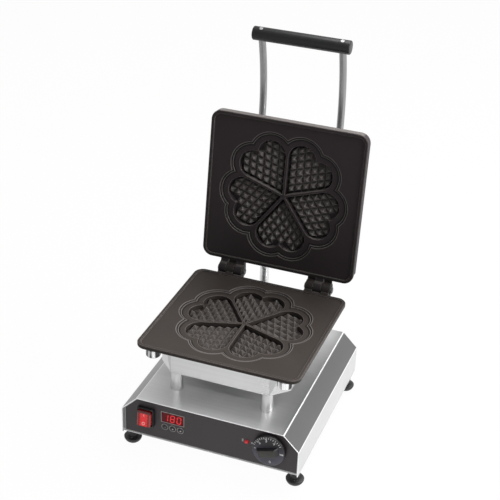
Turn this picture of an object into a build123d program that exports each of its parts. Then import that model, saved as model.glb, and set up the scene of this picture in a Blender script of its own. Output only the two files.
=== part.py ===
"""Commercial heart waffle maker, standing open on its stainless steel base.

Two cast plates face each other on a pair of pinned hinges. They are alike, but for the
skirt along the border of the upper one. Each plate is clamped by studs and nuts to a
sheet steel heating tray. The lower tray stands on four turned pillars on the base, the
upper one carries the bent handle rods.
Millimetres, +Z up, +Y to the back. Z = 0 is the surface that the feet stand on.
"""

import math
import os

from build123d import *

os.makedirs("parts", exist_ok=True)

# Base: folded hood, floor pan, panels and feet
base_width = 300.0
base_depth = 316.0
base_centre_y = -36.0
skirt_height = 28.0
side_wall = 47.0
shoulder = 26.0
hood_sheet = 1.5
floor_sheet = 1.5
floor_flange = 14.0
panel_sheet = 1.5
panel_inset = 2.0
panel_bottom_gap = 4.0
overlay_thickness = 0.6
overlay_margin = 1.2
sheet_gap = 0.2
vent_count = 7
vent_width = 4.0
vent_length = 26.0
vent_pitch = 12.0
foot_radius = 14.7
foot_tip_radius = 8.5
foot_neck_radius = 8.0
foot_bowl = 10.0
foot_lip = 1.5
foot_inset_x = 10.0
foot_inset_y = 20.0
foot_recess_radius = 6.0
foot_recess_depth = 8.0

# Screws, one metric size for the frame and their clearance in a hole
screw_radius = 2.5
screw_head_radius = 4.5
screw_head = 3.0
screw_head_round = 1.2
screw_gap = 0.1
screw_length = 14.0

# Pillars between the base and the lower tray
pillar_height = 34.0
pillar_base_radius = 10.5
pillar_top_radius = 8.5
pillar_foot = 1.5
pillar_inset_x = 33.0
pillar_inset_y = 11.0

# Heating trays
tray_width = 220.0
tray_depth = 214.0
tray_corner = 27.0
tray_height = 47.75
tray_sheet = 1.5
ear_radius = 13.5
insulation_gap = 1.0
element_radius = 4.25
element_pitch = 44.0
element_run = 62.0
element_tail = 24.0
seat_gap = 0.2

# Cast plates with the heart mould
plate_width = 272.0
plate_depth = 262.0
plate_corner = 17.0
plate_edge = 7.0
plate_round = 2.0
skirt_drop = 8.0
skirt_width = 2.8
plate_setback = 8.0
rim_width = 6.0
rim_height = 2.0
rim_chamfer = 0.9
parting_gap = 0.5
mould_gap = 2.5
mould_body_depth = 12.75
heart_count = 5
lobe_margin = 29.0
lobe_angle = 15.0
ridge_half = 2.0
mould_step = 1.3
mould_ledge = 1.3
ledge_offset = 11.0
step_offset = 14.5
heart_depth = 9.0
heart_draft = 8.0
stud_pitch = 13.2
stud_groove = 0.8
stud_tip = 1.4
stud_height = 6.5
stud_margin = 1.7
stud_inset = 2.6
probe_radius = 3.0
probe_length = 20.0
probe_collar = 5.0
boss_radius = 7.0
boss_height = 6.0
bore_gap = 0.05

# Plate fixings: studs, knurled thumb nuts at the front, hex nuts at the rear
fixing_inset_x = 26.0
fixing_inset_y = 17.0
stud_radius = 4.0
stud_depth = 3.5
stud_tail = 3.0
nut_radius = 12.0
nut_height = 15.75
nut_collar = 2.0
knurl_count = 28
knurl_depth = 0.9
hex_nut_width = 13.0
hex_nut_height = 6.5
nut_seat_gap = 0.3

# Hinges
hinge_x = 79.0
hinge_setback = 16.7
lug_width = 13.5
lug_gap = 1.2
knuckle_radius = 12.0
lug_rise = 4.0
pin_radius = 5.0
pin_end = 1.6
ring_thickness = 1.2
ring_play = 0.3
ring_radius = 8.0
ring_groove = 0.8
stop_gap = 0.1
stop_low = 1.8
stop_high = 4.8
open_angle = 97.5

# Handle
rod_radius = 6.0
rod_x = 69.0
rod_lift = 11.0
rod_tail = 62.0
rod_straight = 100.0
rod_reach = 158.0
rod_bend_radius = 360.0
grip_radius = 11.5
grip_length = 166.0
grip_chamfer = 1.2
rod_seat_depth = 7.0
clamp_width = 35.0
clamp_depth = 16.0
clamp_wall = 3.5
clamp_reach = 76.0
clamp_screw_x = 11.5
grip_screw_radius = 2.0
grip_screw_head_radius = 3.6
grip_screw_head = 2.4
grip_screw_round = 0.8

# Conduit that carries the leads from the base to the upper tray
conduit_radius = 8.0
conduit_bore = 6.5
conduit_x = -35.0
conduit_z = 54.0
conduit_out = 20.0
conduit_turn = 11.5
conduit_rise = 122.5
conduit_lead = 20.0
conduit_ease = 0.45
gland_wall = 1.6
gland_flange = 3.4
gland_length = 10.0
gland_hex = 5.0
gland_nut = 4.0
gland_chamfer = 1.0

# Front panel controls, placed on the panel by X and height
rocker_x = -107.3
rocker_z = 70.5
rocker_width = 22.5
rocker_height = 27.0
rocker_gap = 0.9
rocker_tilt = 8.0
rocker_proud = 12.0
rocker_dip = 2.0
rocker_depth = 6.0
rocker_pivot = 3.0
pivot_radius = 1.5
pivot_length = 2.0
bezel_wall = 2.4
bezel_proud = 6.0
switch_body_depth = 22.0
window_x = -62.0
window_z = 76.5
window_width = 37.5
window_height = 18.0
window_proud = 0.4
key_z = 57.5
key_pitch = 13.4
key_radius = 4.4
key_flange = 1.2
key_proud = 1.4
key_travel = 0.8
key_gap = 0.15
board_width = 58.0
board_height = 46.0
board_sheet = 1.6
board_gap = 9.0
standoff_radius = 2.5
lamp_x = 63.7
lamp_z = 70.0
lamp_radius = 3.8
lamp_stem_radius = 3.0
lamp_proud = 3.0
lamp_round = 2.4
lamp_length = 20.0
dial_x = 102.0
dial_z = 69.0
dial_radius = 27.0
dial_skirt = 8.0
dial_bevel = 1.6
dial_gap = 1.0
dial_bar_length = 38.0
dial_bar_width = 14.0
dial_bar_height = 8.0
dial_bar_slope = 5.0
dial_bar_draft = 1.0
dial_bar_turn = 16.0
shaft_radius = 3.0
shaft_seat = 12.0
bush_radius = 5.0
bush_proud = 0.4
shaft_tail = 10.0
thermostat_size = 42.0
thermostat_depth = 26.0

# Electrical parts on the base floor and the mains inlet
relay_width = 34.0
relay_depth = 44.0
relay_height = 26.0
relay_chamfer = 1.0
relay_tab = 6.0
relay_tab_height = 3.0
relay_x = 20.0
relay_y = 20.0
terminal_width = 58.0
terminal_depth = 20.0
terminal_height = 18.0
terminal_count = 5
terminal_screw_radius = 2.6
terminal_screw_depth = 6.0
terminal_x = 78.0
terminal_y = 96.0
inlet_x = 92.0
inlet_z = 54.0
inlet_radius = 4.5

# Levels and centre lines that follow from the sizes above
pillar_x = tray_width / 2 - pillar_inset_x
pillar_reach = tray_depth / 2 - pillar_inset_y
mould_body_radius = min(tray_width, tray_depth) / 2 - tray_sheet - mould_gap
lobe_reach = mould_body_radius - lobe_margin
fixing_x = plate_width / 2 - fixing_inset_x
fixing_y = plate_depth / 2 - fixing_inset_y
top_z = skirt_height + side_wall + shoulder
tray_z = top_z + pillar_height
axis_z = tray_z + tray_height + plate_edge + parting_gap / 2
front_y = base_centre_y - base_depth / 2
rear_y = base_centre_y + base_depth / 2
plate_y = base_centre_y - plate_setback
hinge_y = plate_y + plate_depth / 2 + hinge_setback
hinge_axis = Axis((0, hinge_y, axis_z), (1, 0, 0))
rim_z = -parting_gap / 2
face_z = rim_z - rim_height
under_z = rim_z - plate_edge
ledge_z = face_z - mould_step - mould_ledge
tray_floor_z = under_z - tray_height
body_z = under_z - mould_body_depth
overlay_y = front_y + panel_inset
panel_y = overlay_y + overlay_thickness
panel_back_y = panel_y + panel_sheet


def lower(shape):
    """Puts a piece of a heating half, modelled about the plate's centre, in the base half."""
    return Pos(0, plate_y, axis_z) * shape


def upper(shape):
    """Turns the same piece over, sets it on the lower half and swings it open."""
    closed = Pos(0, plate_y, axis_z) * Rot(0, 180, 0) * shape
    return closed.rotate(hinge_axis, -open_angle)


def lid(shape):
    """Swings open a piece that is modelled in place on the closed lid."""
    return shape.rotate(hinge_axis, -open_angle)


def along(axis, x, y, z):
    """A location whose Z points along the named row axis."""
    turns = {"+y": (-90, 0, 0), "-y": (90, 0, 0), "+z": (0, 0, 0), "-z": (180, 0, 0)}
    return Pos(x, y, z) * Rot(*turns[axis])


def rod(location, radius, length):
    """A round bar that starts at the location and runs along its Z."""
    return location * extrude(Circle(radius), amount=length)


def screw(location, length=screw_length):
    """A pan head screw: the head sits above the location, the shank runs down its Z."""
    head = Pos(0, 0, screw_head / 2) * Cylinder(screw_head_radius, screw_head)
    head = fillet(head.edges().group_by(Axis.Z)[-1], screw_head_round)
    shank = rod(Rot(180, 0, 0), screw_radius, length)
    return location * (head + shank)


def hood_section(inset, low_z):
    """Front view of the hood: side walls, two 45 degree shoulders and the flat top."""
    half = base_width / 2 - inset
    flat = base_width / 2 - shoulder - inset * math.tan(math.radians(22.5))
    knee_z = top_z - inset - (half - flat)
    points = [(-half, low_z), (-half, knee_z), (-flat, top_z - inset)]
    points += [(flat, top_z - inset), (half, knee_z), (half, low_z)]
    return Polygon(*points, align=None)


def sheet_at(y, sketch, thickness):
    """A flat sheet parallel to the front, from depth y to the back."""
    return extrude(Plane.XZ.offset(-y) * sketch, amount=thickness, dir=(0, 1, 0))


def pillar_places():
    """Centres of the four pillars, front pair first."""
    return [(x, plate_y + y) for y in (-pillar_reach, pillar_reach) for x in (-pillar_x, pillar_x)]


def foot_places():
    """Centres of the four feet."""
    x = base_width / 2 - foot_inset_x
    y = base_depth / 2 - foot_inset_y
    return [(sx * x, base_centre_y + sy * y) for sy in (-1, 1) for sx in (-1, 1)]


def base_hood():
    """One stainless sheet folded along four lines, with holes for the pillar screws."""
    section = hood_section(0, skirt_height) - hood_section(hood_sheet, skirt_height)
    hood = sheet_at(front_y, section, base_depth)
    for x, y in pillar_places():
        hood -= rod(along("-z", x, y, top_z), screw_radius + screw_gap, hood_sheet)
    return hood


def base_floor():
    """Pan that closes the base: its flanges stand inside the hood's side walls."""
    width = base_width - 2 * (hood_sheet + sheet_gap)
    depth = base_depth - 2 * (panel_inset + overlay_thickness + panel_sheet + sheet_gap)
    section = Pos(0, skirt_height + floor_flange / 2) * Rectangle(width, floor_flange)
    hollow = Pos(0, skirt_height + floor_sheet + floor_flange / 2)
    section -= hollow * Rectangle(width - 2 * floor_sheet, floor_flange)
    pan = sheet_at(base_centre_y - depth / 2, section, depth)
    for x, y in foot_places():
        pan -= rod(along("+z", x, y, skirt_height), screw_radius + screw_gap, floor_sheet)
    return pan


def rubber_foot(x, y):
    """Rubber bowl on a neck, with a recess for its screw."""
    shoulder_z = foot_bowl - foot_lip
    bowl = TangentArc((foot_radius, shoulder_z), (foot_tip_radius, 0), tangent=(0, -1))
    rest = Polyline(
        (foot_tip_radius, 0), (0, 0), (0, skirt_height), (foot_neck_radius, skirt_height),
        (foot_neck_radius, foot_bowl), (foot_radius, foot_bowl), (foot_radius, shoulder_z),
    )
    foot = revolve(Plane.XZ * make_face(bowl + rest), Axis.Z)
    foot -= rod(Pos(0, 0, 0), foot_recess_radius, foot_recess_depth)
    foot -= rod(Pos(0, 0, 0), screw_radius + screw_gap, skirt_height)
    return Pos(x, y) * foot


def foot_screw(x, y):
    """Screw that enters the foot's recess from below and holds it to the floor pan."""
    length = skirt_height - foot_recess_depth + floor_sheet + screw_head
    return screw(along("-z", x, y, foot_recess_depth), length)


def panel_section(inset):
    """Outline shared by the front and rear panels, inside the hood."""
    return hood_section(hood_sheet + sheet_gap + inset, skirt_height + panel_bottom_gap + inset)


def control_holes():
    """Cut-outs for the controls, shared by the front panel and its overlay."""
    switch_width = rocker_width + 2 * rocker_gap + bezel_wall + 2 * sheet_gap
    switch_height = rocker_height + 2 * rocker_gap + bezel_wall + 2 * sheet_gap
    holes = Pos(rocker_x, rocker_z) * Rectangle(switch_width, switch_height)
    window = Rectangle(window_width + 2 * sheet_gap, window_height + 2 * sheet_gap)
    holes += Pos(window_x, window_z) * window
    for x in key_places():
        holes += Pos(x, key_z) * Circle(key_radius + key_gap)
    holes += Pos(lamp_x, lamp_z) * Circle(lamp_stem_radius + sheet_gap)
    holes += Pos(dial_x, dial_z) * Circle(bush_radius + sheet_gap)
    return holes


def key_places():
    """X of the three keys under the display."""
    return [window_x + n * key_pitch for n in (-1, 0, 1)]


def standoff_places():
    """Centres of the four studs that carry the display board."""
    x = board_width / 2 - 2 * standoff_radius
    middle = (window_z + key_z) / 2
    z = board_height / 2 - 2 * standoff_radius
    return [(window_x + sx * x, middle + sz * z) for sx in (-1, 1) for sz in (-1, 1)]


def front_panel():
    """Steel panel behind the overlay, with four welded studs for the display board."""
    panel = sheet_at(panel_y, panel_section(0) - control_holes(), panel_sheet)
    for x, z in standoff_places():
        panel += rod(along("+y", x, panel_back_y, z), standoff_radius, board_gap)
    return panel


def panel_overlay():
    """Printed plastic overlay on the front panel."""
    return sheet_at(overlay_y, panel_section(overlay_margin) - control_holes(), overlay_thickness)


def rear_panel():
    """Steel panel at the back with the two cable entries and a row of vent slots."""
    section = panel_section(0)
    section -= Pos(conduit_x, conduit_z) * Circle(gland_hole(conduit_radius))
    section -= Pos(inlet_x, inlet_z) * Circle(gland_hole(inlet_radius))
    for n in range(vent_count):
        x = (n - (vent_count - 1) / 2) * vent_pitch + (conduit_x + inlet_x) / 2
        section -= Pos(x, conduit_z) * SlotOverall(vent_length, vent_width, rotation=90)
    return sheet_at(rear_y - panel_inset - panel_sheet, section, panel_sheet)


def pillar(x, y):
    """Turned pillar: a cylindrical foot, a taper to the top, and a screw hole at each end."""
    profile = Polyline(
        (0, 0), (pillar_base_radius, 0), (pillar_base_radius, pillar_foot),
        (pillar_top_radius, pillar_height), (0, pillar_height), close=True,
    )
    body = revolve(Plane.XZ * make_face(profile), Axis.Z)
    body -= rod(Pos(0, 0, 0), screw_radius + screw_gap, screw_length)
    body -= rod(Pos(0, 0, pillar_height - screw_length), screw_radius + screw_gap, screw_length)
    return Pos(x, y, top_z) * body


def pillar_screws():
    """Screws from inside the hood and from inside the tray into both ends of the pillars."""
    from_hood = [screw(along("-z", x, y, top_z - hood_sheet)) for x, y in pillar_places()]
    tray_level = tray_z + tray_sheet
    from_tray = [screw(along("+z", x, y, tray_level), screw_length) for x, y in pillar_places()]
    return from_hood + from_tray


def octagon(width, depth, corner):
    """Rectangle with its four corners cut at 45 degrees."""
    x, y = width / 2, depth / 2
    points = [(x - corner, -y), (x, -y + corner), (x, y - corner), (x - corner, y)]
    points += [(-px, py) for px, py in reversed(points)]
    return Polygon(*points, align=None)


def tray_inside(gap):
    """Plan of the space inside a tray, less a gap all round."""
    cut = 2 * (tray_sheet + gap)
    corner = tray_corner + (tray_sheet + gap) * (math.sqrt(2) - 2)
    return octagon(tray_width - cut, tray_depth - cut, corner)


def fixing_places():
    """Centres of the four studs of a plate: front left, front right, rear left, rear right."""
    return [(sx * fixing_x, sy * fixing_y) for sy in (-1, 1) for sx in (-1, 1)]


def ear(x, y):
    """Flat ear that carries one stud, in line with the tray's cut corner."""
    foot_x = math.copysign(tray_width / 2 - tray_corner / 2, x)
    foot_y = math.copysign(tray_depth / 2 - tray_corner / 2, y)
    span = math.hypot(x - foot_x, y - foot_y)
    turn = math.degrees(math.atan2(y - foot_y, x - foot_x))
    strip = Pos(span / 2, 0) * Rectangle(span, 2 * ear_radius)
    strip += Pos(span, 0) * Circle(ear_radius)
    return Pos(foot_x, foot_y) * Rot(0, 0, turn) * strip


def heating_tray():
    """Octagonal sheet pan, open at the plate, with one folded ear at each cut corner."""
    outline = octagon(tray_width, tray_depth, tray_corner)
    pan = Pos(0, 0, tray_floor_z) * extrude(outline, amount=tray_height)
    hollow = extrude(tray_inside(0), amount=tray_height)
    pan -= Pos(0, 0, tray_floor_z + tray_sheet) * hollow
    for x, y in fixing_places():
        flat = ear(x, y) - tray_inside(0)
        pan += Pos(0, 0, under_z - tray_sheet) * extrude(flat, amount=tray_sheet)
        pan -= rod(Pos(x, y, under_z - tray_sheet), stud_radius + screw_gap, tray_sheet)
    return pan


def lower_tray():
    """Heating tray with the holes for the pillar screws."""
    tray = lower(heating_tray())
    for x, y in pillar_places():
        tray -= rod(Pos(x, y, tray_z), screw_radius + screw_gap, tray_sheet)
    return tray


def clamp_places():
    """Front edge of each rod clamp on the closed lid, about the plate's centre."""
    return [(x, y) for x in (-rod_x, rod_x) for y in (-clamp_reach, clamp_reach - 2 * clamp_depth)]


def clamp_screw_places():
    """Centres of the clamp screws on the closed lid, about the plate's centre."""
    sides = (-clamp_screw_x, clamp_screw_x)
    return [(x + d, y + clamp_depth / 2) for x, y in clamp_places() for d in sides]


def upper_tray():
    """Heating tray with the holes for the rod clamps and for the conduit gland."""
    tray = heating_tray()
    for x, y in clamp_screw_places():
        tray -= rod(Pos(x, y, tray_floor_z), screw_radius + screw_gap, tray_sheet)
    entry = along("-y", -conduit_x, tray_depth / 2, tray_floor_z + tray_height / 2)
    tray -= rod(entry, gland_hole(conduit_radius), tray_sheet)
    return upper(tray)


def insulation():
    """Mineral wool block on the tray floor, cut away round the screw heads."""
    plan = tray_inside(insulation_gap)
    clear = screw_head_radius + insulation_gap
    for sx in (-1, 1):
        for sy in (-1, 1):
            plan -= Pos(sx * pillar_x, sy * pillar_reach) * Circle(clear)
    for x, y in clamp_screw_places():
        plan -= Pos(x, y) * Circle(clear)
    plan -= Circle(probe_radius + probe_collar)
    low = tray_floor_z + tray_sheet
    high = body_z - 2 * (seat_gap + element_radius)
    return Pos(0, 0, low) * extrude(plan, amount=high - low)


def upper_insulation():
    """The same block with a notch round the conduit gland's nut."""
    entry = along("-y", -conduit_x, tray_depth / 2, tray_floor_z + tray_height / 2)
    radius = gland_outer(conduit_radius) / math.cos(math.pi / 6) + insulation_gap
    return insulation() - rod(entry, radius, tray_sheet + gland_nut + insulation_gap)


def heating_element():
    """Tubular element bent into four runs, lying under the mould."""
    turn = element_pitch / 2
    level = body_z - seat_gap - element_radius
    xs = [(n - 1.5) * element_pitch for n in range(4)]
    path = Line((xs[0], element_run + element_tail, level), (xs[0], -element_run, level))
    for n in range(3):
        side = -1 if n % 2 == 0 else 1
        y = side * element_run
        path += ThreePointArc(
            (xs[n], y, level), (xs[n] + turn, y + side * turn, level), (xs[n + 1], y, level)
        )
        end = element_run + (element_tail if n == 2 else 0)
        path += Line((xs[n + 1], y, level), (xs[n + 1], -side * end, level))
    section = Plane(path @ 0, z_dir=path % 0) * Circle(element_radius)
    return sweep(section, path)


def lobe_radius():
    """Radius of a heart's lobe: it touches the ridge beside it."""
    half = 180 / heart_count
    return lobe_reach * math.sin(math.radians(half - lobe_angle)) - ridge_half


def heart_angles():
    """Directions of the hearts, with a ridge towards the front and a heart at the hinge."""
    return [90 + n * 360 / heart_count for n in range(heart_count)]


def lobe_places():
    """Centres of all lobes about the mould's centre."""
    turns = [a + s * lobe_angle for a in heart_angles() for s in (-1, 1)]
    return [
        (lobe_reach * math.cos(math.radians(t)), lobe_reach * math.sin(math.radians(t)))
        for t in turns
    ]


def flower(margin):
    """Scalloped outline of the mould, a margin outside the lobes."""
    outline = Circle(lobe_reach)
    for x, y in lobe_places():
        outline += Pos(x, y) * Circle(lobe_radius() + margin)
    return outline


def heart():
    """A heart along +X with its point at the centre: two lobes and two straight sides."""
    half = math.radians(180 / heart_count)
    swing = math.radians(lobe_angle)
    run = lobe_reach * math.cos(half - swing)
    tip = (ridge_half / math.sin(half), 0)
    side_x = run * math.cos(half) + ridge_half * math.sin(half)
    side_y = run * math.sin(half) - ridge_half * math.cos(half)
    lobe = (lobe_reach * math.cos(swing), lobe_reach * math.sin(swing))
    points = [tip, (side_x, -side_y), (lobe[0], -lobe[1]), lobe, (side_x, side_y)]
    outline = Polygon(*points, align=None)
    outline += Pos(lobe[0], lobe[1]) * Circle(lobe_radius())
    outline += Pos(lobe[0], -lobe[1]) * Circle(lobe_radius())
    return outline


def inside_heart(x, y):
    """Whether a stud's centre lies far enough inside the heart along +X."""
    half = math.radians(180 / heart_count)
    swing = math.radians(lobe_angle)
    to_side = x * math.sin(half) - abs(y) * math.cos(half)
    if to_side < ridge_half + stud_inset:
        return False
    lobe_x = lobe_reach * math.cos(swing)
    lobe_y = lobe_reach * math.sin(swing)
    run = lobe_reach * math.cos(half - swing)
    in_lobe = math.hypot(x - lobe_x, abs(y) - lobe_y) < lobe_radius() - stud_inset
    in_wedge = x < lobe_x and x * math.cos(half) + abs(y) * math.sin(half) < run
    return in_lobe or in_wedge


def stud_cells():
    """Centres of a heart's studs, on a lattice along its two sides; the last ones run into the wall."""
    half = math.radians(180 / heart_count)
    along_x = stud_pitch * math.cos(half)
    along_y = stud_pitch * math.sin(half)
    start = (ridge_half + stud_margin) / math.sin(half)
    count = int(lobe_reach / stud_pitch) + 3
    cells = []
    for i in range(count):
        for j in range(count):
            x = start + (i + j + 1) * along_x
            y = (i - j) * along_y
            if inside_heart(x, y):
                cells.append((x, y))
    return cells


def mould_stud():
    """Rhombic pyramid with a blunt tip, its sides along the heart's two sides."""
    half = math.radians(180 / heart_count)

    def rhombus(side, z):
        x = side * math.cos(half)
        y = side * math.sin(half)
        return Pos(0, 0, z) * Polygon((x, 0), (0, y), (-x, 0), (0, -y), align=None)

    floor_z = ledge_z - heart_depth
    return loft([rhombus(stud_pitch - stud_groove, floor_z), rhombus(stud_tip, floor_z + stud_height)])


def hinge_lug(x):
    """Knuckle and neck of one hinge lug, with the heel that stops the open lid."""
    swing = math.radians(open_angle - 90)
    reach = hinge_setback - stop_gap
    inner_y = plate_depth / 2 - rim_width
    axis_y = plate_depth / 2 + hinge_setback

    def heel_point(across, out):
        y = axis_y + across * math.cos(swing) + out * math.sin(swing)
        return y, out * math.cos(swing) - across * math.sin(swing)

    neck = [(inner_y, under_z), (axis_y, -knuckle_radius), (axis_y, lug_rise)]
    neck += [(plate_depth / 2, rim_z), (inner_y, rim_z)]
    heel = [heel_point(stop_low, 0), heel_point(stop_high, 0)]
    heel += [heel_point(stop_high, reach), heel_point(stop_low, reach)]
    section = Polygon(*neck, align=None) + Polygon(*heel, align=None)
    section += Pos(axis_y, 0) * Circle(knuckle_radius)
    section -= Pos(axis_y, 0) * Circle(pin_radius + bore_gap)
    return extrude(Plane.YZ.offset(x - lug_width / 2) * section, amount=lug_width)


def cast_plate():
    """Casting of a plate: rim, stepped scalloped mould, hearts with studs, hinge lugs."""
    outline = RectangleRounded(plate_width, plate_depth, plate_corner)
    inner = RectangleRounded(
        plate_width - 2 * rim_width, plate_depth - 2 * rim_width, plate_corner - rim_width
    )
    plate = Pos(0, 0, under_z) * extrude(outline, amount=plate_edge)
    plate = fillet(plate.faces().sort_by(Axis.Z)[0].edges(), plate_round)
    plate -= Pos(0, 0, face_z) * extrude(inner, amount=rim_height)
    plate = chamfer(plate.faces().sort_by(Axis.Z)[-1].edges(), rim_chamfer)
    plate += Pos(0, 0, body_z) * extrude(Circle(mould_body_radius), amount=mould_body_depth)
    plate += Pos(0, 0, body_z - boss_height) * extrude(Circle(boss_radius), amount=boss_height)
    pitch = lug_width + lug_gap
    plate += [hinge_lug(x) for x in (-hinge_x, hinge_x - pitch, hinge_x + pitch)]
    plate -= Pos(0, 0, face_z - mould_step) * extrude(flower(step_offset), amount=mould_step)
    plate -= Pos(0, 0, ledge_z) * extrude(flower(ledge_offset), amount=mould_ledge)
    pocket = Pos(0, 0, ledge_z) * extrude(heart(), amount=-heart_depth, taper=heart_draft)
    plate -= [Rot(0, 0, a) * pocket for a in heart_angles()]
    stud = mould_stud()
    plate += [Rot(0, 0, a) * Pos(x, y) * stud for a in heart_angles() for x, y in stud_cells()]
    for x, y in fixing_places():
        plate -= rod(Pos(x, y, under_z), stud_radius + bore_gap, stud_depth)
    plate -= rod(Pos(0, 0, body_z - boss_height), probe_radius + bore_gap, boss_height)
    return plate


def skirted(plate):
    """The upper casting: its border is drawn down into a skirt on the three sides without hinges."""
    outline = RectangleRounded(plate_width, plate_depth, plate_corner)
    inner = RectangleRounded(
        plate_width - 2 * skirt_width, plate_depth - 2 * skirt_width, plate_corner - skirt_width
    )
    border = extrude(outline - inner, amount=-(skirt_drop + plate_round))
    hinge_side = Box(plate_width, 2 * plate_corner, 4 * (skirt_drop + plate_round))
    border -= Pos(0, plate_depth / 2, 0) * hinge_side
    return plate + Pos(0, 0, under_z + plate_round) * border


def plate_studs():
    """Threaded studs that hang from the plate through the tray's ears."""
    length = stud_depth + tray_sheet + nut_seat_gap + nut_height + stud_tail
    return [rod(along("-z", x, y, under_z + stud_depth), stud_radius, length) for x, y in fixing_places()]


def thumb_nut(x, y):
    """Knurled thumb nut with a plain collar against the ear."""
    points = []
    for n in range(2 * knurl_count):
        radius = nut_radius - (knurl_depth if n % 2 else 0)
        turn = math.pi * n / knurl_count
        points.append((radius * math.cos(turn), radius * math.sin(turn)))
    body = extrude(Polygon(*points, align=None), amount=-(nut_height - nut_collar))
    nut = Pos(0, 0, -nut_collar) * body
    nut += extrude(Circle(nut_radius - 2 * knurl_depth), amount=-nut_collar)
    nut -= rod(along("-z", 0, 0, 0), stud_radius + bore_gap, nut_height)
    return Pos(x, y, under_z - tray_sheet - nut_seat_gap) * nut


def hex_nut(x, y):
    """Plain hexagon nut on a rear stud."""
    nut = extrude(RegularPolygon(hex_nut_width / 2, 6, major_radius=False), amount=-hex_nut_height)
    nut -= rod(along("-z", 0, 0, 0), stud_radius + bore_gap, hex_nut_height)
    return Pos(x, y, under_z - tray_sheet) * nut


def plate_probe():
    """Temperature probe in the boss under the mould, with its collar."""
    level = body_z - boss_height
    probe = rod(along("-z", 0, 0, body_z), probe_radius, probe_length)
    return probe + rod(along("-z", 0, 0, level), probe_radius + probe_collar / 2, probe_collar)


def on_hinge(x):
    """A location on the hinge axis whose Z points along +X."""
    return Pos(x, hinge_y, axis_z) * Rot(0, 90, 0)


def ring_places(x):
    """Where the two retaining rings of the hinge at x start."""
    half = 1.5 * lug_width + lug_gap + ring_play
    return (x - half - ring_thickness, x + half)


def hinge_pin(x):
    """Hinge pin with a groove for a retaining ring at each end."""
    first, last = ring_places(x)
    length = last - first + ring_thickness + 2 * pin_end
    pin = rod(on_hinge(first - pin_end), pin_radius, length)
    collar = Circle(pin_radius + ring_groove) - Circle(pin_radius - ring_groove)
    for start in (first, last):
        pin -= on_hinge(start) * extrude(collar, amount=ring_thickness)
    return pin


def hinge_rings(x):
    """The two retaining rings of a hinge pin."""
    ring = extrude(Circle(ring_radius) - Circle(pin_radius - ring_groove), amount=ring_thickness)
    return [on_hinge(start) * ring for start in ring_places(x)]


def rod_level():
    """Height of the rods' straight stretch above the parting plane of the closed lid."""
    return -tray_floor_z + rod_lift


def bend_point(turn):
    """Point of a rod's long bend on the closed lid, a turn in radians after the straight stretch."""
    y = plate_y - rod_straight - rod_bend_radius * math.sin(turn)
    return y, axis_z + rod_level() - rod_bend_radius * (1 - math.cos(turn))


def rod_bend():
    """Angle of the long bend, in radians."""
    return math.asin(rod_reach / rod_bend_radius)


def rod_path(x):
    """Side view of a rod on the closed lid: straight on the tray, then a long bend to the grip."""
    knee, middle, end = [(x, *bend_point(share * rod_bend())) for share in (0, 0.5, 1)]
    run = Line((x, plate_y + rod_tail, axis_z + rod_level()), knee)
    return run + ThreePointArc(knee, middle, end)


def grip_place():
    """Centre of the grip on the closed lid and the slope of the rods there, in degrees."""
    bend = rod_bend()
    y, z = bend_point(bend)
    back = grip_radius - rod_seat_depth
    return y - back * math.cos(bend), z - back * math.sin(bend), math.degrees(bend)


def grip_frame(x):
    """Location on the grip's axis whose Z points out of the grip, along the rod."""
    y, z, slope = grip_place()
    return Pos(x, y, z) * Rot(90 + slope, 0, 0)


def grip_screw_hole(x):
    """Hole for a grip screw, through the grip and into the end of its rod."""
    return grip_frame(x) * extrude(Circle(grip_screw_radius + bore_gap), amount=grip_radius, both=True)


def handle_rod(x):
    """Bent round bar from the upper tray to the grip."""
    path = rod_path(x)
    bar = sweep(Plane(path @ 0, z_dir=path % 0) * Circle(rod_radius), path)
    return lid(bar - grip_screw_hole(x))


def handle_grip():
    """Round grip with a blind seat for each rod and a counterbored hole for its screw."""
    y, z, slope = grip_place()
    grip = rod(Pos(-grip_length / 2, y, z) * Rot(0, 90, 0), grip_radius, grip_length)
    grip = chamfer(grip.edges().filter_by(GeomType.CIRCLE), grip_chamfer)
    for x in (-rod_x, rod_x):
        seat = grip_frame(x) * along("-z", 0, 0, rod_seat_depth - grip_radius)
        grip -= rod(seat, rod_radius + bore_gap, grip_radius)
        grip -= grip_screw_hole(x)
        top = grip_frame(x) * Pos(0, 0, grip_radius - grip_screw_head)
        grip -= rod(top, grip_screw_head_radius + screw_gap, grip_radius)
    return lid(grip)


def grip_screw(x):
    """Screw through the grip into the end of a rod."""
    head = extrude(Circle(grip_screw_head_radius), amount=grip_screw_head)
    head = fillet(head.edges().group_by(Axis.Z)[-1], grip_screw_round)
    length = 2 * grip_radius - grip_screw_head - rod_seat_depth / 2
    head += rod(along("-z", 0, 0, 0), grip_screw_radius, length)
    return lid(grip_frame(x) * Pos(0, 0, grip_radius - grip_screw_head) * head)


def clamp_height():
    """Height of a rod clamp above the upper tray."""
    return rod_lift + rod_radius + clamp_wall


def rod_clamp(x, y):
    """Saddle block that holds a rod on the upper tray, with two counterbored screw holes."""
    height = clamp_height()
    block = Rectangle(clamp_width, height) - Pos(0, rod_lift - height / 2) * Circle(rod_radius + bore_gap)
    clamp = extrude(Plane.XZ * block, amount=-clamp_depth)
    for d in (-clamp_screw_x, clamp_screw_x):
        clamp -= rod(Pos(d, clamp_depth / 2, -height / 2), screw_radius + screw_gap, height)
        clamp -= rod(Pos(d, clamp_depth / 2, 0), screw_head_radius + screw_gap, height)
    return lid(Pos(x, plate_y + y, axis_z - tray_floor_z + height / 2) * clamp)


def clamp_screws():
    """Screws of the four clamps, down into the upper tray."""
    level = axis_z - tray_floor_z + clamp_height() / 2
    length = clamp_height() / 2 + tray_sheet + screw_head
    return [lid(screw(Pos(x, plate_y + y, level), length)) for x, y in clamp_screw_places()]


def gland_hole(bore):
    """Radius of the hole in a wall that takes the gland of a given bore."""
    return bore + gland_wall + screw_gap


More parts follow.
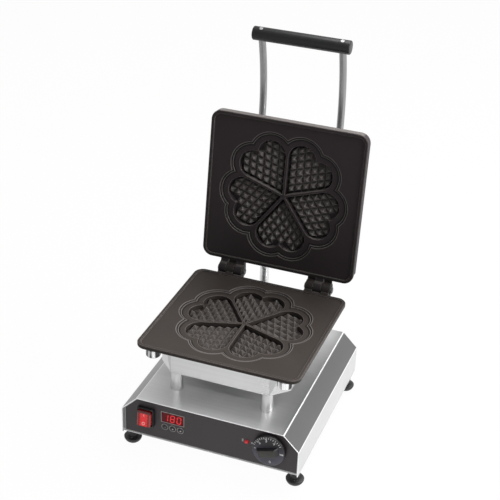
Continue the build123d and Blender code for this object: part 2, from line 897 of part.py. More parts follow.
def gland_outer(bore):
    """Radius of the round body of the gland of a given bore."""
    return bore + gland_wall + gland_flange


def gland(location, bore, wall):
    """Cable gland: hexagon and round dome outside the wall, stem through it, nut inside."""
    stem = bore + gland_wall
    outer = gland_outer(bore)
    body = extrude(RegularPolygon(outer, 6, major_radius=False), amount=gland_hex)
    body += extrude(Circle(outer), amount=gland_length)
    body = chamfer(body.faces().sort_by(Axis.Z)[-1].edges(), gland_chamfer)
    body += extrude(Circle(stem), amount=-(wall + gland_nut))
    nut = extrude(RegularPolygon(outer, 6, major_radius=False), amount=-gland_nut)
    body += Pos(0, 0, -wall) * nut
    through = gland_length + wall + gland_nut
    body -= rod(along("-z", 0, 0, gland_length), bore + bore_gap, through)
    return location * body


def base_gland():
    """Gland on the rear panel where the conduit leaves the base."""
    place = along("+y", conduit_x, rear_y - panel_inset, conduit_z)
    return gland(place, conduit_radius, panel_sheet)


def lid_gland():
    """Gland on the upper tray's hinge side wall, where the conduit enters the lid."""
    place = along("+y", conduit_x, plate_y + tray_depth / 2, axis_z - under_z + tray_height / 2)
    return lid(gland(place, conduit_radius, tray_sheet))


def mains_gland():
    """Gland on the rear panel for a mains lead."""
    return gland(along("+y", inlet_x, rear_y - panel_inset, inlet_z), inlet_radius, panel_sheet)


def conduit_points():
    """Route of the conduit: out of the rear panel, up behind the hinges, into the open lid."""
    swing = math.radians(open_angle)
    wall_y = plate_y + tray_depth / 2 - hinge_y
    wall_z = tray_height / 2 - under_z
    end_y = hinge_y + wall_y * math.cos(swing) + wall_z * math.sin(swing)
    end_z = axis_z - wall_y * math.sin(swing) + wall_z * math.cos(swing)
    start_y = rear_y - panel_inset - panel_sheet
    back_y = start_y + conduit_out + conduit_turn
    points = [(start_y, conduit_z), (start_y + conduit_out, conduit_z)]
    points += [(back_y, conduit_z + conduit_turn), (back_y, conduit_z + conduit_turn + conduit_rise)]
    points += [(end_y + conduit_lead * math.cos(swing), end_z - conduit_lead * math.sin(swing))]
    points += [(end_y, end_z)]
    return [Vector(conduit_x, y, z) for y, z in points]


def conduit():
    """Metal sheathed conduit for the leads of the upper element, on runs joined by arcs."""
    points = conduit_points()
    radii = []
    for before, here, after in zip(points, points[1:], points[2:]):
        turn = math.radians((here - before).get_angle(after - here))
        shorter = min((here - before).length, (after - here).length)
        radii.append(conduit_ease * shorter / math.tan(turn / 2))
    path = FilletPolyline(*points, radius=radii)
    section = Circle(conduit_radius) - Circle(conduit_bore)
    return sweep(Plane(path @ 0, z_dir=path % 0) * section, path)


def switch_opening(margin):
    """Front view of the rocker's opening in its frame, widened by a margin."""
    width = rocker_width + 2 * (rocker_gap + margin)
    height = rocker_height + 2 * (rocker_gap + margin)
    return Pos(rocker_x, rocker_z) * Rectangle(width, height)


def rocker_bezel():
    """Frame and body of the rocker switch, with two pivot pins inside."""
    frame = switch_opening(bezel_wall) - switch_opening(0)
    bezel = sheet_at(overlay_y - bezel_proud, frame, bezel_proud)
    bezel += sheet_at(overlay_y, switch_opening(bezel_wall / 2), switch_body_depth)
    bezel -= sheet_at(overlay_y, switch_opening(0), switch_body_depth - bezel_wall)
    half = rocker_width / 2 + rocker_gap
    for side in (-1, 1):
        start = Pos(rocker_x + side * half, overlay_y - rocker_pivot, rocker_z) * Rot(0, -90 * side, 0)
        bezel += rod(start, pivot_radius, rocker_gap + pivot_length)
    return bezel


def rocker():
    """Rocker with a shallow V face, resting with its upper end pressed in."""
    half = rocker_height / 2
    front = rocker_pivot - rocker_proud
    back = rocker_pivot + rocker_depth
    points = [(front, half), (front + rocker_dip, 0), (front, -half)]
    points += [(back, -half + rocker_dip), (back, half - rocker_dip)]
    body = extrude(Plane.YZ * Polygon(*points, align=None), amount=rocker_width / 2, both=True)
    for side in (-1, 1):
        hole = Pos(side * rocker_width / 2, 0, 0) * Rot(0, -90 * side, 0)
        body -= rod(hole, pivot_radius + bore_gap, pivot_length + bore_gap)
    place = Pos(rocker_x, overlay_y - rocker_pivot, rocker_z)
    return place * Rot(-rocker_tilt, 0, 0) * body


def display_window():
    """Tinted window in front of the display, flush in the panel."""
    window = Pos(window_x, window_z) * Rectangle(window_width, window_height)
    depth = window_proud + overlay_thickness + panel_sheet
    return sheet_at(overlay_y - window_proud, window, depth)


def display_board():
    """Circuit board on the panel's studs, with the display block and three key switches."""
    middle = (window_z + key_z) / 2
    board_y = panel_back_y + board_gap
    board = sheet_at(board_y, Pos(window_x, middle) * Rectangle(board_width, board_height), board_sheet)
    block = Pos(window_x, window_z) * Rectangle(window_width, window_height)
    board += sheet_at(panel_back_y, block, board_gap)
    key_back = panel_back_y + key_gap + key_flange
    for x in key_places():
        start = key_back + key_travel + key_gap
        board += rod(along("+y", x, start, key_z), key_radius / 2, board_y - start)
    return board


def key(x):
    """Round key: its flange sits behind the panel, its cap stands proud of the overlay."""
    depth = key_proud + overlay_thickness + panel_sheet + key_gap
    cap = rod(along("+y", x, overlay_y - key_proud, key_z), key_radius, depth)
    return cap + rod(along("+y", x, panel_back_y + key_gap, key_z), key_radius + key_flange, key_flange)


def pilot_lamp():
    """Domed lens on a stem through the panel."""
    lens = rod(along("-y", lamp_x, overlay_y, lamp_z), lamp_radius, lamp_proud)
    lens = fillet(lens.edges().group_by(Axis.Y)[0], lamp_round)
    return lens + rod(along("+y", lamp_x, overlay_y, lamp_z), lamp_stem_radius, lamp_length)


def dial_knob():
    """Dial with a bevelled skirt, a bar grip with sloping ends and a blind bore for its shaft."""
    knob = extrude(Circle(dial_radius), amount=dial_skirt)
    knob = chamfer(knob.edges().group_by(Axis.Z)[-1], dial_bevel)
    root = Pos(0, 0, dial_skirt) * Rectangle(dial_bar_length, dial_bar_width)
    face_length = dial_bar_length - 2 * dial_bar_slope
    face_width = dial_bar_width - 2 * dial_bar_draft
    face = Pos(0, 0, dial_skirt + dial_bar_height) * Rectangle(face_length, face_width)
    knob += Rot(0, 0, dial_bar_turn) * loft([root, face])
    knob -= extrude(Circle(shaft_radius + bore_gap), amount=shaft_seat)
    return along("-y", dial_x, overlay_y - dial_gap, dial_z) * knob


def dial_shaft():
    """Shaft from the dial's bore through the thermostat's bush."""
    start = overlay_y - dial_gap - shaft_seat
    length = panel_back_y + shaft_tail - start
    return rod(along("+y", dial_x, start, dial_z), shaft_radius, length)


def thermostat():
    """Thermostat body behind the panel, with the bush that carries the dial's shaft."""
    plan = Pos(dial_x, dial_z) * Rectangle(thermostat_size, thermostat_size)
    body = sheet_at(panel_back_y, plan, thermostat_depth)
    front = overlay_y - bush_proud
    body += rod(along("+y", dial_x, front, dial_z), bush_radius, panel_back_y - front)
    bore = panel_back_y + shaft_tail + bush_proud - front
    return body - rod(along("+y", dial_x, front, dial_z), shaft_radius + bore_gap, bore)


def relay():
    """Power relay on the base floor, with two fixing tabs."""
    level = skirt_height + floor_sheet
    body = extrude(Rectangle(relay_width, relay_depth), amount=relay_height)
    body = chamfer(body.edges().group_by(Axis.Z)[-1], relay_chamfer)
    body += extrude(Rectangle(relay_width, relay_depth + 2 * relay_tab), amount=relay_tab_height)
    return Pos(relay_x, base_centre_y + relay_y, level) * body


def terminal_block():
    """Terminal strip on the base floor with a screw well over each pole."""
    level = skirt_height + floor_sheet
    block = extrude(Rectangle(terminal_width, terminal_depth), amount=terminal_height)
    pitch = terminal_width / terminal_count
    for n in range(terminal_count):
        x = (n - (terminal_count - 1) / 2) * pitch
        block -= rod(along("-z", x, 0, terminal_height), terminal_screw_radius, terminal_screw_depth)
    return Pos(terminal_x, base_centre_y + terminal_y, level) * block


def half_nodes(side, put, casting, wool):
    """Pieces of one heating half: the casting, its fixings, element, wool and probe."""
    left, right = fixing_places()[:2]
    if put is upper:
        left, right = right, left
    rear = [put(hex_nut(x, y)) for x, y in fixing_places()[2:]]
    return {
        f"{side}_plate": put(casting),
        f"{side}_insulation": put(wool),
        f"{side}_element": put(heating_element()),
        f"{side}_probe": put(plate_probe()),
        f"{side}_studs": [put(stud) for stud in plate_studs()],
        f"{side}_nut_left": put(thumb_nut(*left)),
        f"{side}_nut_right": put(thumb_nut(*right)),
        f"{side}_rear_nuts": rear,
    }


corner_names = ("front_left", "front_right", "rear_left", "rear_right")
nodes = {
    "base_hood": base_hood(),
    "base_floor": base_floor(),
    "front_panel": front_panel(),
    "panel_overlay": panel_overlay(),
    "rear_panel": rear_panel(),
    "rubber_feet": [rubber_foot(x, y) for x, y in foot_places()],
    "foot_screws": [foot_screw(x, y) for x, y in foot_places()],
    "pillar_screws": pillar_screws(),
    "lower_tray": lower_tray(),
    "upper_tray": upper_tray(),
    "hinge_pin_left": hinge_pin(-hinge_x),
    "hinge_pin_right": hinge_pin(hinge_x),
    "hinge_rings": hinge_rings(-hinge_x) + hinge_rings(hinge_x),
    "handle_rod_left": handle_rod(-rod_x),
    "handle_rod_right": handle_rod(rod_x),
    "handle_grip": handle_grip(),
    "grip_screws": [grip_screw(-rod_x), grip_screw(rod_x)],
    "rod_clamps": [rod_clamp(x, y) for x, y in clamp_places()],
    "clamp_screws": clamp_screws(),
    "base_gland": base_gland(),
    "lid_gland": lid_gland(),
    "mains_gland": mains_gland(),
    "conduit": conduit(),
    "rocker_bezel": rocker_bezel(),
    "rocker": rocker(),
    "display_window": display_window(),
    "display_board": display_board(),
    "pilot_lamp": pilot_lamp(),
    "dial_knob": dial_knob(),
    "dial_shaft": dial_shaft(),
    "thermostat": thermostat(),
    "relay": relay(),
    "terminal_block": terminal_block(),
}
for corner, place in zip(corner_names, pillar_places()):
    nodes[f"pillar_{corner}"] = pillar(*place)
for which, x in zip(("left", "middle", "right"), key_places()):
    nodes[f"key_{which}"] = key(x)
casting = cast_plate()
nodes.update(half_nodes("lower", lower, casting, insulation()))
nodes.update(half_nodes("upper", upper, skirted(casting), upper_insulation()))

for name, shape in nodes.items():
    if isinstance(shape, list):
        shape = Compound(children=[solid for piece in shape for solid in piece.solids()])
    export_step(shape, f"parts/{name}.step")
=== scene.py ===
import bmesh
import bpy
import numpy as np
from mathutils import Matrix, Vector


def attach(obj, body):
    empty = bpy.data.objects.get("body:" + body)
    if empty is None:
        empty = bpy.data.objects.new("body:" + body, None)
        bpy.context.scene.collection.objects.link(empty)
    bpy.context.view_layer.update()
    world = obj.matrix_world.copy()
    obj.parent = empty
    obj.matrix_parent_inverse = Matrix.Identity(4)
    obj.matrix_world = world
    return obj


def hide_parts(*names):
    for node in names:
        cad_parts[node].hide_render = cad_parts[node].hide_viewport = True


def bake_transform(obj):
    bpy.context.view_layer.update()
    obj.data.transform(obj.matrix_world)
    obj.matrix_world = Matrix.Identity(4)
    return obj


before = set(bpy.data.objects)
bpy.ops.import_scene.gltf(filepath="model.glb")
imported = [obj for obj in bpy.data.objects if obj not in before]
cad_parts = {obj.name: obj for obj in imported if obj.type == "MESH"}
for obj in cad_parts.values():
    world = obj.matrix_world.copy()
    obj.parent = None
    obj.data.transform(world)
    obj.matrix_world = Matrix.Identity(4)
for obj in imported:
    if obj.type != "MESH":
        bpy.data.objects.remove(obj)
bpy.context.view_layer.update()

# The hood of the base is one stainless sheet of 1.5 mm, folded over the top into two sloping
# shoulders and two side walls. It is brushed across. A painted highlight lies along its folds and
# cut edges, and painted shade on its shoulders, its walls and the top beside the tray.


class Value:
    """What a node's socket gives. Arithmetic on it adds Math nodes; a | b is the larger of two."""

    def __init__(self, socket):
        self.socket = socket

    def maths(self, operation, *numbers, clamp=False):
        tree = self.socket.id_data
        made = tree.nodes.new("ShaderNodeMath")
        made.operation = operation
        made.use_clamp = clamp
        for plug, number in zip(made.inputs, numbers):
            if isinstance(number, Value):
                tree.links.new(number.socket, plug)
            else:
                plug.default_value = number
        return Value(made.outputs[0])

    def __add__(self, other):
        return self.maths("ADD", self, other)

    def __radd__(self, other):
        return self.maths("ADD", other, self)

    def __sub__(self, other):
        return self.maths("SUBTRACT", self, other)

    def __rsub__(self, other):
        return self.maths("SUBTRACT", other, self)

    def __mul__(self, other):
        return self.maths("MULTIPLY", self, other)

    def __rmul__(self, other):
        return self.maths("MULTIPLY", other, self)

    def __abs__(self):
        return self.maths("ABSOLUTE", self)

    def __or__(self, other):
        return self.maths("MAXIMUM", self, other)

    def root(self):
        return self.maths("SQRT", self)

    def cosine(self):
        return self.maths("COSINE", self)

    def turn_from(self, across):
        """The angle in radians of a point that lies this number up and another across."""
        return self.maths("ARCTAN2", self, across)

    def zigzag(self, half):
        """Up from 0 to the half and down again, over and over."""
        return self.maths("PINGPONG", self, half)

    def under(self, edge, soft):
        """1 where the number is under the edge, 0 over it, with a ramp as wide as soft between."""
        return self.maths("MULTIPLY_ADD", self, -1 / soft, edge / soft + 0.5, clamp=True)

    def other(self, name):
        """Another output of the same node."""
        return Value(self.socket.node.outputs[name])


class Finish:
    """The nodes of a material or a world. node() adds one: settings first, then values and links."""

    def __init__(self, name, owner=None):
        self.owner = owner or bpy.data.materials.new(name)
        self.owner.use_nodes = True
        self.tree = self.owner.node_tree
        self.tree.nodes.clear()
        self.place = self.node("ShaderNodeTexCoord", out="Object")

    def node(self, kind, settings=None, sockets=None, out=0):
        made = self.tree.nodes.new(kind)
        for key, value in (settings or {}).items():
            setattr(made, key, value)
        for key, value in (sockets or {}).items():
            if isinstance(value, Value):
                self.tree.links.new(value.socket, made.inputs[key])
            else:
                made.inputs[key].default_value = value
        return Value(made.outputs[out]) if made.outputs else made

    def axes(self):
        """The place on the object as three numbers in millimetres."""
        x = self.node("ShaderNodeSeparateXYZ", sockets={0: self.place}, out="X")
        return x * 1000, x.other("Y") * 1000, x.other("Z") * 1000

    def noise(self, per_metre, detail=3.0):
        """Soft random spots, so many to the metre along each axis."""
        spots = np.broadcast_to(per_metre, 3).tolist()
        turned = self.node("ShaderNodeMapping", sockets={"Vector": self.place, "Scale": spots})
        return self.node("ShaderNodeTexNoise", sockets={"Vector": turned, "Scale": 1.0, "Detail": detail})

    def tint(self, share, first, second):
        """The first colour where the share is 0, the second where it is 1."""
        first, second = ((*c, 1.0) if isinstance(c, tuple) else c for c in (first, second))
        return self.node("ShaderNodeMix", {"data_type": "RGBA"}, {0: share, 6: first, 7: second}, 2)

    def edges(self, radius):
        """The normal of edges rounded to a radius in millimetres, and how far it turns there."""
        rounded = self.node("ShaderNodeBevel", {"samples": 6}, {"Radius": radius / 1000})
        flat = self.node("ShaderNodeNewGeometry", out="True Normal")
        along = self.node("ShaderNodeVectorMath", {"operation": "DOT_PRODUCT"},
                          {0: rounded, 1: flat}, "Value")
        return rounded, 1 - along

    def relief(self, height, depth, strength=1.0, normal=None):
        """The normal of a surface raised by the height times a depth in millimetres."""
        sockets = {"Height": height, "Distance": depth / 1000, "Strength": strength}
        if normal:
            sockets["Normal"] = normal
        return self.node("ShaderNodeBump", sockets=sockets)

    def surface(self, sockets):
        shader = self.node("ShaderNodeBsdfPrincipled", sockets=sockets)
        self.node("ShaderNodeOutputMaterial", sockets={"Surface": shader})
        return self.owner


def brushed_steel(name, grain, tone=0.7, rough=0.34, ease=0.7, relief=0.03, lines=None, painted_shade=None):
    """Brushed stainless sheet: streaks drawn out along the grain, faint smudges and a painted highlight
    on its edges. The lines, when given, mark where more painted highlight is laid; the painted shade
    gives where the sheet is darkened with painted shade, and its share of bare metal."""
    f = Finish(name)
    streaks = f.noise(grain, 4.0)
    smudges = f.noise(11.0, 3.0)
    rounded, turn = f.edges(ease)
    dark, light = (tone * 0.84, tone * 0.84, tone * 0.85), (tone * 1.16,) * 3
    colour = f.tint(0.55 * streaks + 0.45 * smudges, dark, light)
    # Painted highlight: the colour is lightened to white where the edges round off, and along the lines.
    bright = 1 - (turn * 6).under(0.5, 1.0)
    metal = 0.86
    # Painted shade: the colour is darkened towards grey where the painted shade function says.
    if painted_shade:
        dull, metal = painted_shade(f)
        colour = f.tint(dull, colour, (0.2, 0.2, 0.2))
    if lines:
        bright = bright | lines(f)
    colour = f.tint(bright, colour, (1.0, 1.0, 1.0))
    return f.surface({
        "Base Color": colour,
        "Metallic": metal,
        "Roughness": rough + 0.08 * (streaks - 0.5) + 0.12 * (smudges - 0.5),
        "Normal": f.relief(streaks, relief, 0.6, rounded),
    })


def quads(rows, columns):
    """Faces between each row of a grid and the next, with each row's end joined to its start."""
    at = np.arange(rows * columns).reshape(rows, columns)
    at = np.hstack([at, at[:, :1]])
    return np.stack([at[:-1, :-1], at[:-1, 1:], at[1:, 1:], at[1:, :-1]], -1).reshape(-1, 4)


def piece(name, grids, body, material, stands_for=(), sharp=35):
    """One mesh from grids of points in millimetres: open ends are capped and faces turned outwards."""
    sizes = [len(g) * len(g[0]) for g in grids]
    starts = np.cumsum([0] + sizes[:-1])
    points = np.concatenate([np.reshape(g, (-1, 3)) for g in grids]) / 1000
    faces = np.concatenate([quads(len(g), len(g[0])) + k for g, k in zip(grids, starts)])
    mesh = bpy.data.meshes.new(name)
    mesh.from_pydata(points.tolist(), [], faces.tolist())
    work = bmesh.new()
    work.from_mesh(mesh)
    bmesh.ops.remove_doubles(work, verts=work.verts, dist=1e-6)
    bmesh.ops.dissolve_degenerate(work, edges=work.edges, dist=1e-7)
    bmesh.ops.holes_fill(work, edges=[e for e in work.edges if e.is_boundary], sides=0)
    bmesh.ops.recalc_face_normals(work, faces=work.faces)
    work.to_mesh(mesh)
    work.free()
    mesh.polygons.foreach_set("use_smooth", np.ones(len(mesh.polygons), bool))
    mesh.set_sharp_from_angle(angle=np.radians(sharp))
    mesh.materials.append(material)
    made = bpy.data.objects.new(name, mesh)
    bpy.context.scene.collection.objects.link(made)
    if stands_for:
        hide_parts(*stands_for)
    if body:
        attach(made, body)
    return made


def eased(corners, ease, steps=6, closed=False):
    """A line through corners, each rounded by a parabola (1-t)2 A + 2t(1-t) P + t2 B, where A and B
    lie the ease before and after the corner P."""
    p = np.array(corners, float)
    e = np.broadcast_to(np.array(ease, float), len(p))[:, None].copy()
    if not closed:
        e[[0, -1]] = 0
    back, ahead = np.roll(p, 1, 0) - p, np.roll(p, -1, 0) - p
    a = p + e * back / np.linalg.norm(back, axis=1, keepdims=True)
    b = p + e * ahead / np.linalg.norm(ahead, axis=1, keepdims=True)
    t = np.linspace(0, 1, steps)[None, :, None]
    line = (1 - t) ** 2 * a[:, None] + 2 * t * (1 - t) * p[:, None] + t**2 * b[:, None]
    line = line.reshape(-1, p.shape[1])
    fresh = np.linalg.norm(np.diff(line, axis=0), axis=1) > 1e-6
    return line[np.r_[True, fresh]]


hood_sheet, hood_burr = 1.5, 0.3
hood_front, hood_back = -194.0, 122.0
hood_half, top_half = 150.0, 124.0
hood_foot, wall_top, hood_top = 28.0, 75.0, 101.0


def both_sides(right_half):
    """A line over the top from its right half: the mirrored half leads up to it."""
    return [(-x, z) for x, z in reversed(right_half)] + right_half


hood_outside = both_sides([(top_half, hood_top), (hood_half, wall_top), (hood_half, hood_foot)])
hood_inside = both_sides([(123.38, 99.5), (148.5, 74.38), (148.5, hood_foot)])


def folded_hood():
    """Each point of the fold line, from the outer to the inner skin, along the eight corners of the
    sheet's section: outer + depth (inner - outer), with the cut edges at front and back broken."""
    outer = eased(hood_outside, 1.7)
    inner = eased(hood_inside, 1.0)
    nip = hood_burr / hood_sheet
    section = np.array([
        (hood_front, nip), (hood_front + hood_burr, 0), (hood_back - hood_burr, 0), (hood_back, nip),
        (hood_back, 1 - nip), (hood_back - hood_burr, 1), (hood_front + hood_burr, 1), (hood_front, 1 - nip),
    ])
    y, depth = section.T
    skin = outer[:, None] + depth[None, :, None] * (inner - outer)[:, None]
    return np.stack([skin[..., 0], np.broadcast_to(y, skin.shape[:2]), skin[..., 1]], -1)


def hood_highlight_lines(f):
    """Where a painted highlight lies: within a millimetre of the front edge and of the folds."""
    x, y, z = f.axes()
    upper_fold = abs(abs(x) - top_half) | abs(z - hood_top)
    lower_fold = abs(abs(x) - hood_half) | abs(z - wall_top)
    return y.under(hood_front + 0.5, 0.4) | upper_fold.under(0.9, 0.7) | lower_fold.under(0.8, 0.7)


def hood_painted_shade(f):
    """Painted shade on the shoulders, on the top beside the tray and on the walls, and the metal's
    share: the top is matter under the tray."""
    x, _, z = f.axes()
    middle_x, middle_z, half = (top_half + hood_half) / 2, (wall_top + hood_top) / 2, 13.0
    shoulder = abs(abs(x) - middle_x).under(half, 0.6) * abs(z - middle_z).under(half, 0.6)
    left = x.under(0.0, 1.0)
    on_top = 1 - z.under(hood_top - 1, 1.0)
    beside = (1 - x.under(108.0, 40.0)) * on_top
    under_tray = abs(x).under(112.0, 40.0) * on_top
    walls = z.under(wall_top - 1, 1.0)
    # Painted shade: strongest on the shoulders and beside the tray, faint on the walls.
    painted_dulling = shoulder * (1.0 - 0.04 * left) | (0.84 * beside) | (0.16 * walls)
    return painted_dulling, 0.72 - 0.16 * under_tray


hood_steel = brushed_steel("hood_steel", (6, 420, 6), tone=0.79, relief=0.06,
                           lines=hood_highlight_lines, painted_shade=hood_painted_shade)
piece("hood", [folded_hood()], "base", hood_steel, ["base_hood"], sharp=20)

# The floor pan and the rear panel close the base. They are cut from the same sheet as the hood;
# the rear panel has a row of vent slots and the two cable entries.


def dress(material, *names):
    """Gives solids that keep their shape their finish."""
    for name in names:
        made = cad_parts[name]
        made.data.materials.clear()
        made.data.materials.append(material)


dress(brushed_steel("pan_steel", (14, 900, 900), tone=0.6, rough=0.32), "base_floor", "rear_panel")

# The feet are four black rubber bowls on a neck, moulded in one. A screw, its head sunk in the
# bowl, holds each of them to the floor pan.


def turned(profile, origin, axis="z", steps=64):
    """A turned form: (radius, height) runs round the axis, origin + radius (cos a, sin a) + height."""
    r, h = np.array(profile, float).T[:, :, None]
    a = np.linspace(0, 2 * np.pi, steps, endpoint=False)[None]
    u, v, w = r * np.cos(a), r * np.sin(a), h + 0 * a
    order = {"z": (u, v, w), "x": (w, u, v), "-y": (u, -w, v), "-z": (u, -v, -w)}[axis]
    return np.stack(order, -1) + np.array(origin, float)


def rubber(name):
    """Black rubber: a dull skin with a fine mould grain and a dusty bloom."""
    f = Finish(name)
    grain = f.noise(1500.0, 2.0)
    bloom = f.noise(60.0, 3.0)
    return f.surface({
        "Base Color": f.tint(bloom, (0.008, 0.008, 0.009), (0.02, 0.02, 0.021)),
        "Roughness": 0.38 + 0.16 * bloom,
        "Normal": f.relief(grain, 0.03, 0.5),
    })


foot_bowl_arc = [(8.5, 0.0), (10.4, 0.9), (12.1, 2.5), (13.5, 4.6), (14.4, 6.7), (14.7, 8.5)]
foot_profile = [(0, 8), (6, 8), (6, 0.5), (6.5, 0)] + foot_bowl_arc
foot_profile += [(14.7, 9.2), (14.3, 9.8), (13.6, 10), (8.6, 10), (8.1, 10.4), (8, 11), (8, 28), (0, 28)]
foot_places = [(x, y, 0) for x in (-140, 140) for y in (-174, 102)]
feet = [turned(foot_profile, place) for place in foot_places]
piece("feet", feet, "base", rubber("foot_rubber"), ["rubber_feet"])

# The front panel is a steel sheet inside the hood's edge. Its face is a printed overlay, dark
# satin, with thin pale lines round the display and the keys and a dot for the dial. At its left a
# margin is painted with light and shade: a grey strip, a pale strip and a black line of painted shadow.

window_place = (-62.0, 76.5)
key_places = (-75.4, -62.0, -48.6)
key_height = 57.5
dial_dot, lamp_sign = (72.6, 70.0), (57.0, 71.5)
margin_edge, shadow_line, light_strip_start = -143.0, -143.2, -145.3
panel_front = -192.0


def ring_line(x, z, radius, width):
    """A printed circle: the distance from the centre lies within half a width of the radius."""
    return abs((x * x + z * z).root() - radius).under(width / 2, 0.25)


def spot(x, z, radius):
    """A printed dot."""
    return (x * x + z * z).root().under(radius, 0.3)


def box_line(x, z, half_x, half_z, width):
    """A printed frame: the larger of the two distances past the sides lies within half a width."""
    return abs((abs(x) - half_x) | (abs(z) - half_z)).under(width / 2, 0.25)


def printed_overlay():
    """Dark overlay with a fine grain, pale print laid over it, and at its left a margin of painted light and
    shade with a black line of painted shadow.
    """
    f = Finish("printed_overlay")
    x, _, z = f.axes()
    grain = f.noise(2600.0, 2.0)
    cloud = f.noise(25.0, 2.0)
    ink = box_line(x - window_place[0], z - window_place[1], 19.5, 9.7, 1.0)
    for place in key_places:
        ink = ink | ring_line(x - place, z - key_height, 5.3, 0.7)
    ink = ink | spot(x - dial_dot[0], z - dial_dot[1], 1.7)
    sign = abs(x - lamp_sign[0]).under(1.3, 0.3) * abs(z - lamp_sign[1]).under(2.6, 0.3)
    ink = ink | (0.8 * sign)
    ground = f.tint(0.6 * grain + 0.4 * cloud, (0.036, 0.029, 0.031), (0.050, 0.041, 0.045))
    printed = f.tint(ink, ground, (0.62, 0.60, 0.58))
    # Painted light and shade at the margin: grey beyond the strip's start, pale up to the print, and a black
    # line of painted shadow.
    margin = f.tint(x.under(light_strip_start, 0.5), (0.58, 0.58, 0.58), (0.30, 0.30, 0.30))
    margin = f.tint(abs(x - shadow_line).under(0.5, 0.3), margin, (0.006, 0.006, 0.006))
    return f.surface({
        "Base Color": f.tint(x.under(margin_edge, 0.4), printed, margin),
        "Roughness": 0.42 + 0.1 * grain,
        "Normal": f.relief(grain, 0.01, 0.5, f.edges(0.3)[0]),
    })


dress(printed_overlay(), "panel_overlay")
dress(brushed_steel("panel_steel", (14, 900, 900), tone=0.5, rough=0.35), "front_panel")

# The mains switch is a black moulded frame, snapped into the panel, round a red rocker that
# glows when it is on. It is moulded in clear red with white signs for on and off.


def round_box(width, height, radius, steps=7):
    """A rectangle with round corners, as (across, up) points."""
    x, z = width / 2, height / 2
    return eased([(-x, -z), (x, -z), (x, z), (-x, z)], radius, steps, closed=True)


def rimmed(loops, width, height, radius):
    """Loops of one rounded rectangle, each drawn in by an inset and set at a depth."""
    rings = [(round_box(width - 2 * i, height - 2 * i, max(radius - i, 0.25)), y) for i, y in loops]
    return np.stack([np.column_stack([r[:, 0], np.full(len(r), y), r[:, 1]]) for r, y in rings])


def moulded(name, dark, light, rough, grain_depth=0.02, gloss=0.35):
    """Moulded plastic: a fine spark-eroded grain, a little mottled, duller in the grain."""
    f = Finish(name)
    grain = f.noise(1800.0, 2.0)
    mottle = f.noise(90.0, 2.0)
    return f.surface({
        "Base Color": f.tint(mottle, dark, light),
        "Specular IOR Level": gloss,
        "Roughness": rough + 0.12 * (grain - 0.5) + 0.1 * (mottle - 0.5),
        "Normal": f.relief(grain, grain_depth, 0.5, f.edges(0.5)[0]),
    })


rocker_place = np.array([-107.3, -195.0, 70.5])
bezel_loops = [(1.2, -170), (1.2, -192), (0, -192), (0, -197.1), (0.25, -197.7), (0.8, -198), (1.6, -198)]
bezel_loops += [(2.15, -197.75), (2.4, -197.2), (2.4, -173)]
bezel_width, bezel_height, bezel_round = 29.1, 33.6, 3.2
bezel_grid = rimmed(bezel_loops, bezel_width, bezel_height, bezel_round) + rocker_place * (1, 0, 1)
switch_black = moulded("switch_black", (0.006, 0.006, 0.007), (0.014, 0.014, 0.015), 0.34)
piece("switch_frame", [bezel_grid], "base", switch_black, ["rocker_bezel"], sharp=50)


rocker_width, rocker_height, rocker_dip = 22.5, 27.0, 2.0
rocker_face, rocker_tilt = -9.0, np.radians(-8)


def dished(height):
    """The rocker's face before it is tilted: it dips by 2 mm (1 - sqrt(height2 + 4) / half height)."""
    return rocker_face + rocker_dip * (1 - np.sqrt(height**2 + 4) / (rocker_height / 2))


def rocker_key():
    """Rounded rectangles from the back to the front edge, then shrinking to the middle over the
    dished face; all turned 8 degrees about the pivot."""
    back = [(1.6, 9.0), (0.4, 1.0), (0, -3.0)]
    rim = [(0, 0.9), (0.25, 0.3), (0.9, 0.0)]
    rows = []
    for inset, lift in back + rim:
        width, height = rocker_width - 2 * inset, rocker_height - 2 * inset
        across, up = round_box(width, height, max(2.2 - inset, 0.4)).T
        face = dished(up) if (inset, lift) in rim else 0 * up
        rows.append(np.column_stack([across, face + lift, up]))
    edge = rows[-1]
    for share in (0.85, 0.7, 0.55, 0.4, 0.25, 0.1, 0.0):
        across, up = edge[:, 0] * share, edge[:, 2] * share
        rows.append(np.column_stack([across, dished(up), up]))
    x, y, z = np.moveaxis(np.stack(rows), -1, 0)
    tilt_cos, tilt_sin = np.cos(rocker_tilt), np.sin(rocker_tilt)
    return np.stack([x, y * tilt_cos - z * tilt_sin, y * tilt_sin + z * tilt_cos], -1) + rocker_place


def glowing_red():
    """Clear red plastic: a bright lit core, a painted shadow over its top end, a paler border, white signs.
    """
    f = Finish("rocker_red")
    x, _, z = f.axes()
    across, up = x - rocker_place[0], z - rocker_place[2]
    core = abs(across).under(6.2, 2.5) * abs(up).under(12.0, 2.5)
    border = 1 - abs(across).under(9.6, 1.2) * abs(up).under(12.4, 1.2)
    mottle = f.noise(300.0, 3.0)
    off_sign = ring_line(across, up + 7.2, 2.1, 0.9)
    on_sign = abs(across).under(0.55, 0.25) * abs(up - 7.0).under(2.2, 0.25)
    body = f.tint(core, (0.28, 0.006, 0.008), (0.62, 0.012, 0.012))
    body = f.tint(border * 0.55, body, (0.62, 0.16, 0.15))
    body = f.tint(mottle * 0.18, body, (0.80, 0.07, 0.05))
    # Painted shadow: the top end of the key is darkened as if it lay sunk in the frame's shade.
    sunk = 1 - up.under(10.2, 1.2)
    body = f.tint(sunk, body, (0.03, 0.001, 0.001))
    glow = f.tint(core * (1 - sunk), (0.04, 0.0, 0.0), (0.36, 0.006, 0.008))
    return f.surface({
        "Base Color": f.tint(off_sign | on_sign, body, (0.85, 0.80, 0.78)),
        "Roughness": 0.22 + 0.1 * mottle,
        "Coat Weight": 0.15,
        "Emission Color": glow,
        "Emission Strength": 1.0,
    })


piece("rocker_key", [rocker_key()], "rocker", glowing_red(), ["rocker"], sharp=45)

